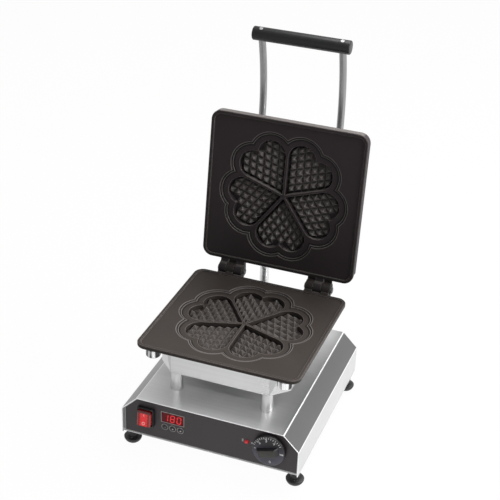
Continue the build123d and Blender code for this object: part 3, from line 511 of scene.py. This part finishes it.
# The display is a dark red acrylic window that stands 0.4 mm proud of the overlay. Three lit
# figures, each of up to seven bars, are laid on its polished face.


def red_window():
    """Dark red acrylic: polished, with faint wiping marks that vary its tone and roughness."""
    f = Finish("window_red")
    haze = f.noise((40, 40, 220), 3.0)
    return f.surface({
        "Base Color": f.tint(haze, (0.15, 0.002, 0.005), (0.22, 0.004, 0.009)),
        "Roughness": 0.16 + 0.12 * haze,
        "Specular IOR Level": 0.2,
    })


dress(red_window(), "display_window")
bar_half, bar_end, figure_pitch = 3.0, 0.85, 11.2
bar_spots = {"top": (0, 6.2, 0), "mid": (0, 0, 0), "low": (0, -6.2, 0)}
bar_spots |= {"ul": (-3.1, 3.1, 1), "ur": (3.1, 3.1, 1), "ll": (-3.1, -3.1, 1), "lr": (3.1, -3.1, 1)}
figures = {"1": ["ur", "lr"], "8": list(bar_spots), "0": ["top", "low", "ul", "ur", "ll", "lr"]}


def figure_bar(column, name):
    """One bar: a hexagon with pointed ends, 0.3 mm thick, a third of it sunk in the window's face."""
    across, up, upright = bar_spots[name]
    ends = [(-bar_half, 0), (-bar_half + bar_end, bar_end), (bar_half - bar_end, bar_end)]
    outline = np.array(ends + [(-a, -b) for a, b in ends])
    outline = outline[:, ::-1] if upright else outline
    lean = 0.1 * (outline[:, 1] + up)
    x = window_place[0] + (column - 1) * figure_pitch + across + outline[:, 0] + lean
    z = window_place[1] + up + outline[:, 1]
    depths = (panel_front - 0.3, panel_front - 0.6)
    return np.stack([np.column_stack([x, np.full(len(x), y), z]) for y in depths])


def lit_red():
    """Lit bars: red light, a little uneven from bar to bar."""
    f = Finish("figure_light")
    uneven = f.noise(160.0, 2.0)
    return f.surface({
        "Base Color": f.tint(uneven, (0.50, 0.01, 0.012), (0.70, 0.02, 0.02)),
        "Roughness": 0.3,
        "Emission Color": f.tint(uneven, (0.44, 0.006, 0.012), (0.60, 0.010, 0.018)),
        "Emission Strength": 0.9,
    })


lit_bars = [figure_bar(k, bar) for k, number in enumerate("180") for bar in figures[number]]
piece("display_figures", lit_bars, "base", lit_red())

# Three round keys stand through the overlay below the display: black domed silicone caps with a
# white dot, faint on the left one, held by a flange behind the panel.

key_profile = [(0, 1.4), (1.6, 1.37), (3.0, 1.2), (3.9, 0.9), (4.3, 0.45), (4.4, 0), (4.4, -2.25)]
key_profile += [(5.6, -2.25), (5.6, -3.45), (0, -3.45)]
faint_dot, clear_dots = -74.2, (-61.2, -47.8)


def key_cap():
    """Black silicone caps with a fine grain and a small white dot on each."""
    f = Finish("key_black")
    x, _, z = f.axes()
    grain = f.noise(1500.0, 2.0)
    dots = 0.45 * spot(x - faint_dot, z - key_height, 0.9)
    for place in clear_dots:
        dots = dots | spot(x - place, z - key_height, 1.25)
    black = f.tint(grain, (0.010, 0.009, 0.010), (0.022, 0.020, 0.022))
    return f.surface({
        "Base Color": f.tint(dots, black, (0.8, 0.79, 0.77)),
        "Roughness": 0.4 + 0.15 * grain,
        "Normal": f.relief(grain, 0.015, 0.5),
    })


key_black = key_cap()
for name, place in zip(("key_left", "key_middle", "key_right"), key_places):
    cap = turned(key_profile, (place, panel_front, key_height), "-y", 40)
    piece("cap_" + name, [cap], name, key_black, [name])

# The pilot lamp is a small red lens on a round stem, moulded in clear plastic and pushed through
# the panel from the front.

lamp_place = (63.7, 70.0)
lamp_profile = [(0, 3), (1.2, 2.9), (2.3, 2.5), (3.1, 1.8), (3.6, 0.95), (3.8, 0.35), (3.8, 0)]
lamp_profile += [(3, 0), (3, -20), (0, -20)]


def lamp_lens():
    """Clear red lens with a fine facet pattern and a lit centre."""
    f = Finish("lamp_red")
    x, _, z = f.axes()
    facets = f.node("ShaderNodeTexVoronoi", sockets={"Vector": f.place, "Scale": 900.0})
    heart = spot(x - lamp_place[0], z - lamp_place[1], 1.6)
    return f.surface({
        "Base Color": f.tint(facets, (0.55, 0.004, 0.010), (0.75, 0.010, 0.020)),
        "Roughness": 0.15 + 0.1 * facets,
        "Coat Weight": 0.2,
        "Emission Color": f.tint(heart, (0.06, 0.0, 0.002), (0.34, 0.004, 0.010)),
        "Emission Strength": 1.0,
        "Normal": f.relief(facets, 0.05, 0.5),
    })


lens = turned(lamp_profile, (lamp_place[0], panel_front, lamp_place[1]), "-y", 40)
piece("lamp_lens", [lens], "base", lamp_lens(), ["pilot_lamp"])

# The dial is a black moulding: a bevelled skirt with a printed scale, and a bar grip across it
# that slopes at its ends. It is pressed on the thermostat's shaft.

dial_place = np.array([102.0, -193.0, 69.0])
dial_turn = np.radians(16)
skirt_height, bar_height = 8.0, 16.0
dial_profile = [(0, 0), (26.6, 0), (27, 0.4), (27, 6.2), (26.7, 6.9), (25.6, 7.8), (25, 8), (0, 8)]
bar_loops = [(38.0, 14.0, 7.0), (37.6, 13.8, 8.4), (28.9, 12.2, 15.3)]
bar_loops += [(28.2, 11.7, 15.85), (27.2, 10.8, bar_height)]


def bar_grip():
    """Rounded rectangles from the bar's root to its face, turned 16 degrees on the skirt."""
    rows = []
    for length, width, height in bar_loops:
        ring = round_box(length, width, 1.6)
        x = ring[:, 0] * np.cos(dial_turn) - ring[:, 1] * np.sin(dial_turn)
        z = ring[:, 0] * np.sin(dial_turn) + ring[:, 1] * np.cos(dial_turn)
        rows.append(np.column_stack([x, np.full(len(ring), -height), z]))
    return np.stack(rows) + dial_place


def dial_print():
    """Black plastic, the skirt's face greyer low down and darkened towards the top with painted shade, with
    white marks at even angles on its edge.
    """
    f = Finish("dial_black")
    x, y, z = f.axes()
    across, up = x - dial_place[0], z - dial_place[2]
    away = (across * across + up * up).root()
    angle = up.turn_from(across) * (180 / np.pi)
    grain = f.noise(1800.0, 2.0)
    face = abs(y - (dial_place[1] - skirt_height)).under(0.5, 0.2)
    mark_step, scale_middle, scale_half = 9.0, 100.0, 68.0
    mark_radius, pointer_radius = 24.2, 22.2
    off_mark = abs((angle + 360.0).zigzag(mark_step / 2) * away * (np.pi / 180))
    in_scale = abs(away - mark_radius).under(1.5, 0.3) * abs(angle - scale_middle).under(scale_half, 1.0)
    marks = off_mark.under(0.6, 0.3) * in_scale
    pointer = abs(angle).under(3.6, 0.8) * abs(away - pointer_radius).under(3.0, 0.3)
    bar_face = y.under(dial_place[1] - bar_height + 0.3, 0.2)
    # Painted shade: the skirt's face darkens from its lower part towards the top.
    skirt = f.tint(up.under(2.0, 24.0), (0.012, 0.011, 0.014), (0.115, 0.108, 0.145))
    tone = f.tint(face, (0.004, 0.004, 0.005), skirt)
    tone = f.tint(bar_face, tone, (0.034, 0.032, 0.023))
    tone = f.tint(0.12 * grain, tone, (0.05, 0.047, 0.055))
    return f.surface({
        "Base Color": f.tint((marks | pointer) * face, tone, (0.82, 0.82, 0.84)),
        "Roughness": 0.3 + 0.16 * face + 0.1 * grain,
        "Normal": f.relief(grain, 0.015, 0.5, f.edges(0.4)[0]),
    })


dial_black = dial_print()
dial_grids = [turned(dial_profile, dial_place, "-y", 120), bar_grip()]
piece("dial", dial_grids, "dial", dial_black, ["dial_knob"], sharp=30)


def white_print():
    """White print, a little broken by the grain under it."""
    f = Finish("white_print")
    grain = f.noise(2400.0, 2.0)
    return f.surface({
        "Base Color": f.tint(grain, (0.62, 0.62, 0.64), (0.9, 0.9, 0.9)),
        "Roughness": 0.45 + 0.1 * grain,
    })


print_lift, print_weight = 0.04, 0.26


def numbers(name, marks, body, material, slot):
    """Printed numbers as one flat mesh: each is set upright, turned on its face and put in place."""
    work = bmesh.new()
    for text, size, place, turn in marks:
        words = bpy.data.curves.new(name, "FONT")
        words.body, words.size = text, size / 1000
        words.align_x, words.align_y = "CENTER", "CENTER"
        words.extrude, words.offset = print_lift / 1000, print_weight / 1000
        typed = bpy.data.objects.new(name, words)
        mesh = bpy.data.meshes.new_from_object(typed)
        mesh.transform(Matrix.Translation(Vector(place) / 1000) @ Matrix.Rotation(turn, 4, "Y")
                       @ Matrix.Rotation(np.pi / 2, 4, "X"))
        work.from_mesh(mesh)
        bpy.data.objects.remove(typed)
    bmesh.ops.remove_doubles(work, verts=work.verts, dist=1e-7)
    bmesh.ops.recalc_face_normals(work, faces=work.faces)
    mesh = bpy.data.meshes.new(name)
    work.to_mesh(mesh)
    work.free()
    mesh.materials.append(material)
    made = bpy.data.objects.new(name, mesh)
    bpy.context.scene.collection.objects.link(made)
    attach(made, body)


def on_scale(degrees, radius=19.6):
    """A place on the skirt's face, by its angle and distance from the middle."""
    a = np.radians(degrees)
    out = dial_place[1] - skirt_height - 0.05
    return (dial_place[0] + radius * np.cos(a), out, dial_place[2] + radius * np.sin(a))


number_angles = (178, 140, 100, 62)
scale = [(str(k + 1), 7.4, on_scale(d), np.radians(90 - d)) for k, d in enumerate(number_angles)]
scale += [("0", 6.4, on_scale(-78), np.radians(-14))]
numbers("dial_numbers", scale, "dial", white_print(), "dial_black")

# Four pillars, turned from bright steel, stand on the hood and carry the lower tray. Each has a
# short straight foot and tapers to the tray, where its screw comes down from inside.


def turned_steel(name, tone, rough):
    """Turned metal: fine rings round the axis, a little darker in the tool marks."""
    f = Finish(name)
    rings = f.noise((14, 14, 2600), 2.0)
    haze = f.noise(14.0, 2.0)
    return f.surface({
        "Base Color": f.tint(0.5 * rings + 0.5 * haze, (tone * 0.84,) * 3, (tone * 1.12,) * 3),
        "Metallic": 1.0,
        "Roughness": rough + 0.1 * (rings - 0.5) + 0.1 * (haze - 0.5),
        "Normal": f.relief(rings, 0.008, 0.5),
    })


pillar_profile = [(0, 101), (10.2, 101), (10.5, 101.3), (10.5, 102.5), (8.5, 134.6), (8.2, 135), (0, 135)]
pillar_steel = turned_steel("pillar_steel", 0.6, 0.34)
pillar_x, pillar_front, pillar_rear = 77.0, -140.0, 52.0
for side_x, sx in (("left", -pillar_x), ("right", pillar_x)):
    for side_y, sy in (("front", pillar_front), ("rear", pillar_rear)):
        node = f"pillar_{side_y}_{side_x}"
        shaft = turned(pillar_profile, (sx, sy, 0))
        piece("turned_" + node, [shaft], "base", pillar_steel, [node])

# The two heating trays are octagonal sheet pans, welded at the corners. At each cut corner a
# triangular flap of the long wall is folded over the joint and spot welded.

tray_steel = brushed_steel("tray_steel", (2, 2, 620), tone=0.68, rough=0.3, ease=0.6, relief=0.004)
dress(tray_steel, "lower_tray", "upper_tray")
hinge_line = np.array([0.0, 103.7, 190.0])
open_degrees = 97.5
tray_middle, tray_fold_x, tray_fold_y = -44.0, 83.0, 107.0
flap_outline = np.array([(0.0, 135.4), (0.0, 182.3), (25.0, 182.3), (0.9, 135.4)])


def opened(points):
    """Points on the closed lid, swung open by 97.5 degrees about the hinge pins."""
    a = np.radians(open_degrees)
    x, y, z = np.moveaxis(np.asarray(points, float) - hinge_line, -1, 0)
    return np.stack([x, y * np.cos(a) + z * np.sin(a), z * np.cos(a) - y * np.sin(a)], -1) + hinge_line


def on_lid(points):
    """Points of the lower half, mirrored in the parting plane and swung open with the lid."""
    return opened(points * (1, 1, -1) + (0, 0, 2 * hinge_line[2]))


def corner_flap(sx, sy):
    """A triangle on the cut corner, from the fold's bottom to its top and out along the top edge,
    0.9 mm thick: the outline is set back and out along the corner's own normal."""
    fold = np.array([sx * tray_fold_x, tray_middle + sy * tray_fold_y])
    along = np.array([sx, -sy]) / np.sqrt(2)
    out = np.array([sx, sy]) / np.sqrt(2)
    middle = flap_outline.mean(0)
    rows = []
    for lift, draw in ((-0.2, 0.0), (0.6, 0.0), (0.9, 0.3)):
        shape = middle + (flap_outline - middle) * (1 - draw / 20)
        flat = fold + shape[:, :1] * along + lift * out
        rows.append(np.column_stack([flat, shape[:, 1]]))
    return np.stack(rows)


corners = [(sx, sy) for sx in (-1, 1) for sy in (-1, 1)]
lower_flaps = [corner_flap(sx, sy) for sx, sy in corners]
# The flaps are the tray's own steel in a darker tone: painted shade.
flap_steel_shaded = brushed_steel("flap_steel_shaded", (2, 2, 620), tone=0.5, ease=0.5, relief=0.004)
piece("lower_tray_flaps", lower_flaps, "base", flap_steel_shaded, sharp=20)
upper_flaps = [on_lid(flap) for flap in lower_flaps]
piece("upper_tray_flaps", upper_flaps, "lid", flap_steel_shaded, sharp=20)

# The two plates are iron castings with a heart mould, seasoned to a brown black. The skin is
# satin with a fine cast grain. It is paler along the rim, steps and studs, partly from use and partly
# painted highlight, and darker in the hollows, the grooves and by the hinge with painted shade.

mould_setback, lobe_reach, lobe_radius = 147.7, 74.0, 24.5
heart_half, lobe_lean = np.pi / 5, np.pi / 12
outer_crest, inner_crest = 15.0, 11.5
outer_trough, inner_trough = 13.1, 9.4


def seasoned_iron(name, dark, light, swing, facet_light, border=0.0):
    """Brown black iron: cast grain in the relief and patches of seasoning. The edges are paler, partly
    from use and partly painted highlight; the crests of the contour steps, the studs' facets that
    turn one way and the upright end faces carry a painted highlight. The hollows, the contour troughs,
    the hinge and the rear beside it are darkened with painted shade and shadow. The swing is how far
    the plate is open in degrees, the facet light and the border how strongly the studs' facets and
    its upright end faces are painted lighter. Over the mould, d is the distance past the lobes:
    R2 + c2 - 2Rc cos(p - 15) = (r + d)2, where p is the angle from the middle of the nearest heart."""
    f = Finish(name)
    x, y, z = f.axes()
    turn_cos, turn_sin = np.cos(np.radians(swing)), np.sin(np.radians(swing))
    behind, above = y - hinge_line[1], z - hinge_line[2]
    along = behind * turn_cos - above * turn_sin + mould_setback
    reach = (x * x + along * along).root()
    apart = (x.turn_from(along) + 4 * np.pi).zigzag(heart_half) - lobe_lean
    lobe_away = reach * reach + lobe_reach**2 - 2 * lobe_reach * reach * apart.cosine()
    past = lobe_away.root() - lobe_radius
    outer = 1 - reach.under(70.0, 1.0)
    crest = abs(past - outer_crest).under(0.7, 0.5) | abs(past - inner_crest).under(0.7, 0.5)
    trough = abs(past - outer_trough).under(1.1, 0.8) | abs(past - inner_trough).under(1.2, 0.9)
    tilt = f.node("ShaderNodeSeparateXYZ", sockets={0: f.place.other("Normal")}, out="Z")
    level = abs(tilt.other("Y") * turn_sin + tilt * turn_cos)
    # Painted highlight on the studs' facets that face one way.
    facets = abs(level - 0.64).under(0.2, 0.12) * (past.under(3.0, 2.0) | reach.under(66.0, 4.0))
    grain = f.noise(1300.0, 3.0)
    patches = f.noise(22.0, 4.0)
    edge_turn = f.edges(1.5)[1]
    open_sky = f.node("ShaderNodeAmbientOcclusion", {"samples": 8}, {"Distance": 0.007}, "AO")
    # Paler edges, partly from use and partly painted highlight; painted highlight on the upright end faces,
    # the contour crests and the facets.
    wear_and_highlight = (1 - (edge_turn * 7).under(0.5, 1.0)) | ((1 - tilt.under(0.9, 0.1)) * border)
    wear_and_highlight = wear_and_highlight | (outer * crest * 0.7) | (facets * facet_light)
    skin = f.tint(0.5 * grain + 0.5 * patches, dark, light)
    worn_and_lit = f.tint(wear_and_highlight * 0.85, skin, (0.27, 0.248, 0.236))
    hinge_away = (behind * behind + above * above).root()
    # Painted shade in the hollows and contour troughs, painted shadow at the hinge and over the rear.
    painted_shadows = open_sky.under(0.5, 0.5) | (outer * trough * 0.8)
    painted_shadows = painted_shadows | (0.6 * hinge_away.under(24.0, 12.0)) | (0.26 * hinge_away.under(100.0, 110.0))
    return f.surface({
        "Base Color": f.tint(painted_shadows, worn_and_lit, (0.006, 0.005, 0.005)),
        "Roughness": 0.5 + 0.12 * (grain - 0.5) + 0.12 * (patches - 0.5) - 0.1 * wear_and_highlight,
        "Specular IOR Level": 0.14,
        "Normal": f.relief(grain, 0.07, 0.6, f.edges(0.7)[0]),
    })


lower_iron = seasoned_iron("iron_lower", (0.036, 0.030, 0.027), (0.063, 0.052, 0.046), 0.0, 0.2)
dress(lower_iron, "lower_plate")
upper_iron = seasoned_iron("iron_upper", (0.037, 0.029, 0.031), (0.064, 0.051, 0.054),
                           open_degrees, 0.9, 0.7)
dress(upper_iron, "upper_plate")

# Each plate is held by four studs: plain hexagon nuts at the hinge side and knurled, chromed
# thumb nuts under the front corners, which unscrew to change the plate.


def chrome():
    """Chrome on brass: bright, with upright dark stripes of painted reflection and faint wiping haze."""
    f = Finish("nut_chrome")
    haze = f.noise(240.0, 3.0)
    reflection_bands = f.noise((150, 150, 12), 1.0)
    return f.surface({
        # Painted reflection: dark and bright upright stripes round the nut.
        "Base Color": f.tint(reflection_bands.under(0.5, 0.16), (0.86, 0.86, 0.87), (0.05, 0.05, 0.052)),
        "Metallic": 1.0,
        "Roughness": 0.1 + 0.14 * haze,
    })


nut_profile = [(0, 0), (10, 0), (10.2, 0.3), (10.2, 2), (11.2, 2.1), (12, 2.9), (12, 12.9), (11.6, 14.6)]
nut_profile += [(10.6, 15.5), (9.4, 15.75), (0, 15.75)]
nut_band = np.array([0, 0, 0, 0, 0.2, 1, 1, 0.5, 0, 0, 0])
nut_x, nut_y, nut_seat = 110.0, -158.0, 180.95
knurl_count, knurl_depth = 28, 0.5


def thumb_nut(place):
    """A turned nut whose radius loses 0.5 mm (1 - cos 28a) / 2 along its knurled band."""
    steps = 8 * knurl_count
    plain = turned(nut_profile, (0, 0, 0), "-z", steps)
    a = np.linspace(0, 2 * np.pi, steps, endpoint=False)
    depth = knurl_depth * (1 - np.cos(knurl_count * a)) / 2 * nut_band[:, None]
    radius = np.maximum(np.hypot(plain[..., 0], plain[..., 1]), 1e-6)
    plain[..., :2] *= (1 - depth / radius)[..., None]
    return plain + np.array(place)


nut_chrome = chrome()
for side, sx in (("left", -nut_x), ("right", nut_x)):
    low = thumb_nut((sx, nut_y, nut_seat))
    for half, nut in (("lower", low), ("upper", on_lid(low))):
        node = f"{half}_nut_{side}"
        piece(f"thumb_{half}_{side}", [nut], node, nut_chrome, [node])


def plain_steel(name, tone, rough, edge=0.85):
    """Plated steel of screws and pins: grey, mottled by the plating, with a painted highlight on its edges.
    """
    f = Finish(name)
    mottle = f.noise(400.0, 3.0)
    rounded, turn = f.edges(0.4)
    colour = f.tint(mottle, (tone * 0.8,) * 3, (tone * 1.15,) * 3)
    return f.surface({
        # Painted highlight: the edges are lightened to the edge tone.
        "Base Color": f.tint(1 - (turn * 6).under(0.5, 1.0), colour, (edge,) * 3),
        "Metallic": 1.0,
        "Roughness": rough + 0.14 * (mottle - 0.5),
        "Normal": rounded,
    })


fixing_steel = plain_steel("fixing_steel", 0.55, 0.3)
dress(fixing_steel, "lower_studs", "upper_studs", "lower_rear_nuts", "upper_rear_nuts",
      "foot_screws", "pillar_screws")

# The hinges are lugs of the two castings, interleaved on two steel pins of a dark tone. Spring
# rings in grooves hold the pins.

dress(plain_steel("pin_steel", 0.1, 0.45, 0.16), "hinge_pin_left", "hinge_pin_right", "hinge_rings")

# The handle is two bent stainless rods, clamped in steel saddles on the upper tray, with a black
# round grip across their ends. A screw through the grip holds each rod.

rod_x, rod_radius, rod_break = 69.0, 6.0, 0.5
rod_bend, rod_end = 360.0, np.radians(26.03)
rod_level, rod_heel, rod_turn = 256.0, 18.0, -144.0


def tube(path, radius, steps=40):
    """A round bar on a flat path in the YZ plane: at each point the ring radius (cos a X + sin a N),
    where N is X crossed with the path's direction. The radius may change along the path."""
    path = np.array(path, float)
    ahead = np.gradient(path, axis=0)
    ahead /= np.linalg.norm(ahead, axis=1, keepdims=True)
    side = np.array([1.0, 0, 0])
    up = np.cross(side, ahead)
    a = np.linspace(0, 2 * np.pi, steps, endpoint=False)[None, :, None]
    r = np.broadcast_to(radius, len(path))[:, None, None]
    return path[:, None] + r * (np.cos(a) * side + np.sin(a) * up[:, None])


def handle_rod(x):
    """A straight run on the tray, then an arc of 360 mm radius; the free end is broken by 0.5 mm."""
    run = np.linspace(rod_heel, rod_turn, 12)[:, None] * (0, 1, 0) + (x, 0, rod_level)
    t = np.linspace(0, rod_end, 40)[1:]
    y, z = rod_turn - rod_bend * np.sin(t), rod_level - rod_bend * (1 - np.cos(t))
    arc = np.column_stack([np.full(len(t), x), y, z])
    path = np.concatenate([run[:1], run[:1] - (0, rod_break, 0), run[1:], arc])
    radius = np.full(len(path), rod_radius)
    radius[0] -= rod_break
    return opened(tube(path, radius))


def drawn_steel(name):
    """Bright drawn bar: smooth, with long faint draw marks and soft haze."""
    f = Finish(name)
    marks = f.noise((1500, 1500, 12), 2.0)
    haze = f.noise(20.0, 3.0)
    return f.surface({
        "Base Color": f.tint(0.5 * marks + 0.5 * haze, (0.27, 0.27, 0.273), (0.38, 0.38, 0.383)),
        "Metallic": 0.85,
        "Roughness": 0.3 + 0.08 * marks + 0.1 * haze,
    })


rod_steel = drawn_steel("rod_steel")
for side, sx in (("left", -rod_x), ("right", rod_x)):
    piece("rod_" + side, [handle_rod(sx)], "lid", rod_steel, ["handle_rod_" + side])

grip_centre, grip_half = (0, 184.4, 592.6), 83.0
grip_end = [(0, 0), (9.9, 0), (10.4, 0.1), (11.4, 1.1), (11.5, 1.6)]
grip_profile = [(r, inset - grip_half) for r, inset in grip_end]
grip_profile += [(r, grip_half - inset) for r, inset in reversed(grip_end)]
grip_black = moulded("grip_black", (0.010, 0.010, 0.011), (0.019, 0.019, 0.020), 0.36, 0.015, 0.3)
grip = turned(grip_profile, grip_centre, "x", 72)
piece("grip", [grip], "lid", grip_black, ["handle_grip"], sharp=40)
dress(plain_steel("screw_bright", 0.36, 0.34, 0.6), "grip_screws")
dress(plain_steel("clamp_steel", 0.6, 0.3), "rod_clamps", "clamp_screws")

# A bright metal-sheathed conduit carries the leads from the base up into the upper tray. A gland
# grips it at each end; here it is one fixed bent tube. The mains lead has a third gland.


conduit_x, conduit_radius, conduit_rings = -35.0, 8.0, 110


def conduit_tube():
    """The route with its corners eased, carried by a round section of 8 mm radius."""
    route = [(118.5, 54.0), (138.5, 54.0), (150.0, 65.5), (150.0, 188.0), (137.26, 206.46), (139.87, 226.29)]
    line = eased(route, (0, 7.3, 7.3, 10.1, 9.0, 0), 14)
    gaps = np.r_[0, np.cumsum(np.linalg.norm(np.diff(line, axis=0), axis=1))]
    even = np.linspace(0, gaps[-1], conduit_rings)
    y, z = (np.interp(even, gaps, line[:, k]) for k in (0, 1))
    return tube(np.column_stack([np.full(conduit_rings, conduit_x), y, z]), conduit_radius)


def sheath():
    """Polished metal sheath: bright, with soft wiping haze."""
    f = Finish("conduit_steel")
    haze = f.noise(60.0, 3.0)
    return f.surface({
        "Base Color": f.tint(haze, (0.62, 0.62, 0.63), (0.8, 0.8, 0.81)),
        "Metallic": 1.0,
        "Roughness": 0.14 + 0.16 * haze,
    })


conduit = piece("conduit_sheath", [conduit_tube()], None, sheath(), ["conduit"])
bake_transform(conduit)
dress(plain_steel("gland_nickel", 0.62, 0.25), "base_gland", "lid_gland", "mains_gland")

# Inside the trays lie mineral wool, a tubular element and a probe under each plate; in the base
# are the display board, the dial's shaft and thermostat, a relay and the terminal block.


def wool():
    """Pale yellow mineral wool: tangled fibre in the colour and the relief."""
    f = Finish("wool")
    fibre = f.noise((260, 900, 260), 6.0)
    return f.surface({
        "Base Color": f.tint(fibre, (0.42, 0.36, 0.20), (0.68, 0.62, 0.42)),
        "Roughness": 0.9,
        "Normal": f.relief(fibre, 0.5, 0.7),
    })


dress(wool(), "lower_insulation", "upper_insulation")
dress(plain_steel("element_steel", 0.3, 0.4), "lower_element", "upper_element", "lower_probe", "upper_probe")
dress(moulded("board_green", (0.01, 0.07, 0.03), (0.02, 0.11, 0.05), 0.4), "display_board")
component_grey = moulded("component_grey", (0.12, 0.12, 0.125), (0.2, 0.2, 0.2), 0.45)
dress(component_grey, "relay", "terminal_block", "thermostat")
dress(fixing_steel, "dial_shaft")

# The studio: a white floor that keeps a faint shadow, a white surround that is greyer overhead,
# a large soft lamp above, a small one to the right, a spot on the hood and the camera in front.


def studio_floor():
    """White floor: for the camera and in reflections most of it is plain white, the rest is lit.
    Mirrored, it is brighter towards the right."""
    f = Finish("studio_floor")
    x = f.axes()[0]
    ray = f.node("ShaderNodeLightPath", out="Is Camera Ray")
    mirrored = ray.other("Is Glossy Ray")
    seen = ray | mirrored | ray.other("Is Transmission Ray")
    lit = f.node("ShaderNodeBsdfDiffuse", sockets={"Color": (0.4, 0.4, 0.4, 1)})
    glow = 1.04 + mirrored * (0.14 - 0.24 * x.under(0.0, 400.0))
    white = f.node("ShaderNodeEmission", sockets={"Color": (1, 1, 1, 1), "Strength": glow})
    mixed = f.node("ShaderNodeMixShader", sockets={0: seen * 0.93, 1: lit, 2: white})
    f.node("ShaderNodeOutputMaterial", sockets={"Surface": mixed})
    return f.owner


floor_half, floor_drop = 6.0, 0.0003
floor_signs = ((-1, -1), (1, -1), (1, 1), (-1, 1))
floor_corners = [(sx * floor_half, sy * floor_half, -floor_drop) for sx, sy in floor_signs]
floor_mesh = bpy.data.meshes.new("floor")
floor_mesh.from_pydata(floor_corners, [], [(0, 1, 2, 3)])
floor_mesh.materials.append(studio_floor())
floor = bpy.data.objects.new("floor", floor_mesh)
bpy.context.scene.collection.objects.link(floor)


def surround():
    """White all round for the camera. Mirrored it is greyer above the floor, and it lights softly."""
    f = Finish("surround", bpy.data.worlds.new("surround"))
    height = f.node("ShaderNodeSeparateXYZ", sockets={0: f.place.other("Generated")}, out="Z")
    ray = f.node("ShaderNodeLightPath", out="Is Camera Ray")
    mirrored = ray.other("Is Glossy Ray") * (0.66 + 0.34 * height.under(0.08, 0.16))
    shown = f.node("ShaderNodeBackground", sockets={"Color": (1, 1, 1, 1), "Strength": ray | mirrored | 0.1})
    f.node("ShaderNodeOutputWorld", sockets={"Surface": shown})
    return f.owner


bpy.context.scene.world = surround()


def lamp(kind, name, place, aim, power):
    """A lamp that looks from its place towards a point, both in metres."""
    light = bpy.data.lights.new(name, kind)
    light.energy = power
    made = bpy.data.objects.new(name, light)
    bpy.context.scene.collection.objects.link(made)
    turn = (Vector(aim) - Vector(place)).to_track_quat("-Z", "Y")
    made.matrix_world = Matrix.Translation(place) @ turn.to_matrix().to_4x4()
    return light


overhead = lamp("AREA", "overhead", (0.5, 0.65, 2.1), (0, -0.04, 0.2), 58.0)
overhead.size = 1.8
side_lamp = lamp("AREA", "right", (2.1, -0.15, 1.0), (0, 0, 0.3), 22.0)
side_lamp.size = 0.9
hood_spot = lamp("SPOT", "front", (0, -0.9, 1.2), (0, -0.195, 0.1), 30.0)
hood_spot.shadow_soft_size, hood_spot.spot_size, hood_spot.spot_blend = 0.16, np.radians(16), 0.8

azimuth, elevation, roll = np.radians((19.53, 29.23, 2.06))
aim, distance = np.array([0.00243, -0.036, 0.318]), 1.97797
focal_pixels, picture_pixels, sensor = 1255.33, 500, 36.0
back = np.array([np.sin(azimuth), -np.cos(azimuth), 0]) * np.cos(elevation) + (0, 0, np.sin(elevation))
right = np.array([np.cos(azimuth), np.sin(azimuth), 0])
up = np.cross(back, right)
level_right = right * np.cos(roll) + up * np.sin(roll)
level_up = up * np.cos(roll) - right * np.sin(roll)
camera = bpy.data.cameras.new("camera")
camera.sensor_width, camera.lens = sensor, sensor * focal_pixels / picture_pixels
viewer = bpy.data.objects.new("camera", camera)
bpy.context.scene.collection.objects.link(viewer)
placing = np.column_stack([level_right, level_up, back, aim + back * distance])
viewer.matrix_world = Matrix(np.vstack([placing, [0, 0, 0, 1]]).tolist())
bpy.context.scene.camera = viewer
bpy.context.scene.view_settings.view_transform = "Standard"
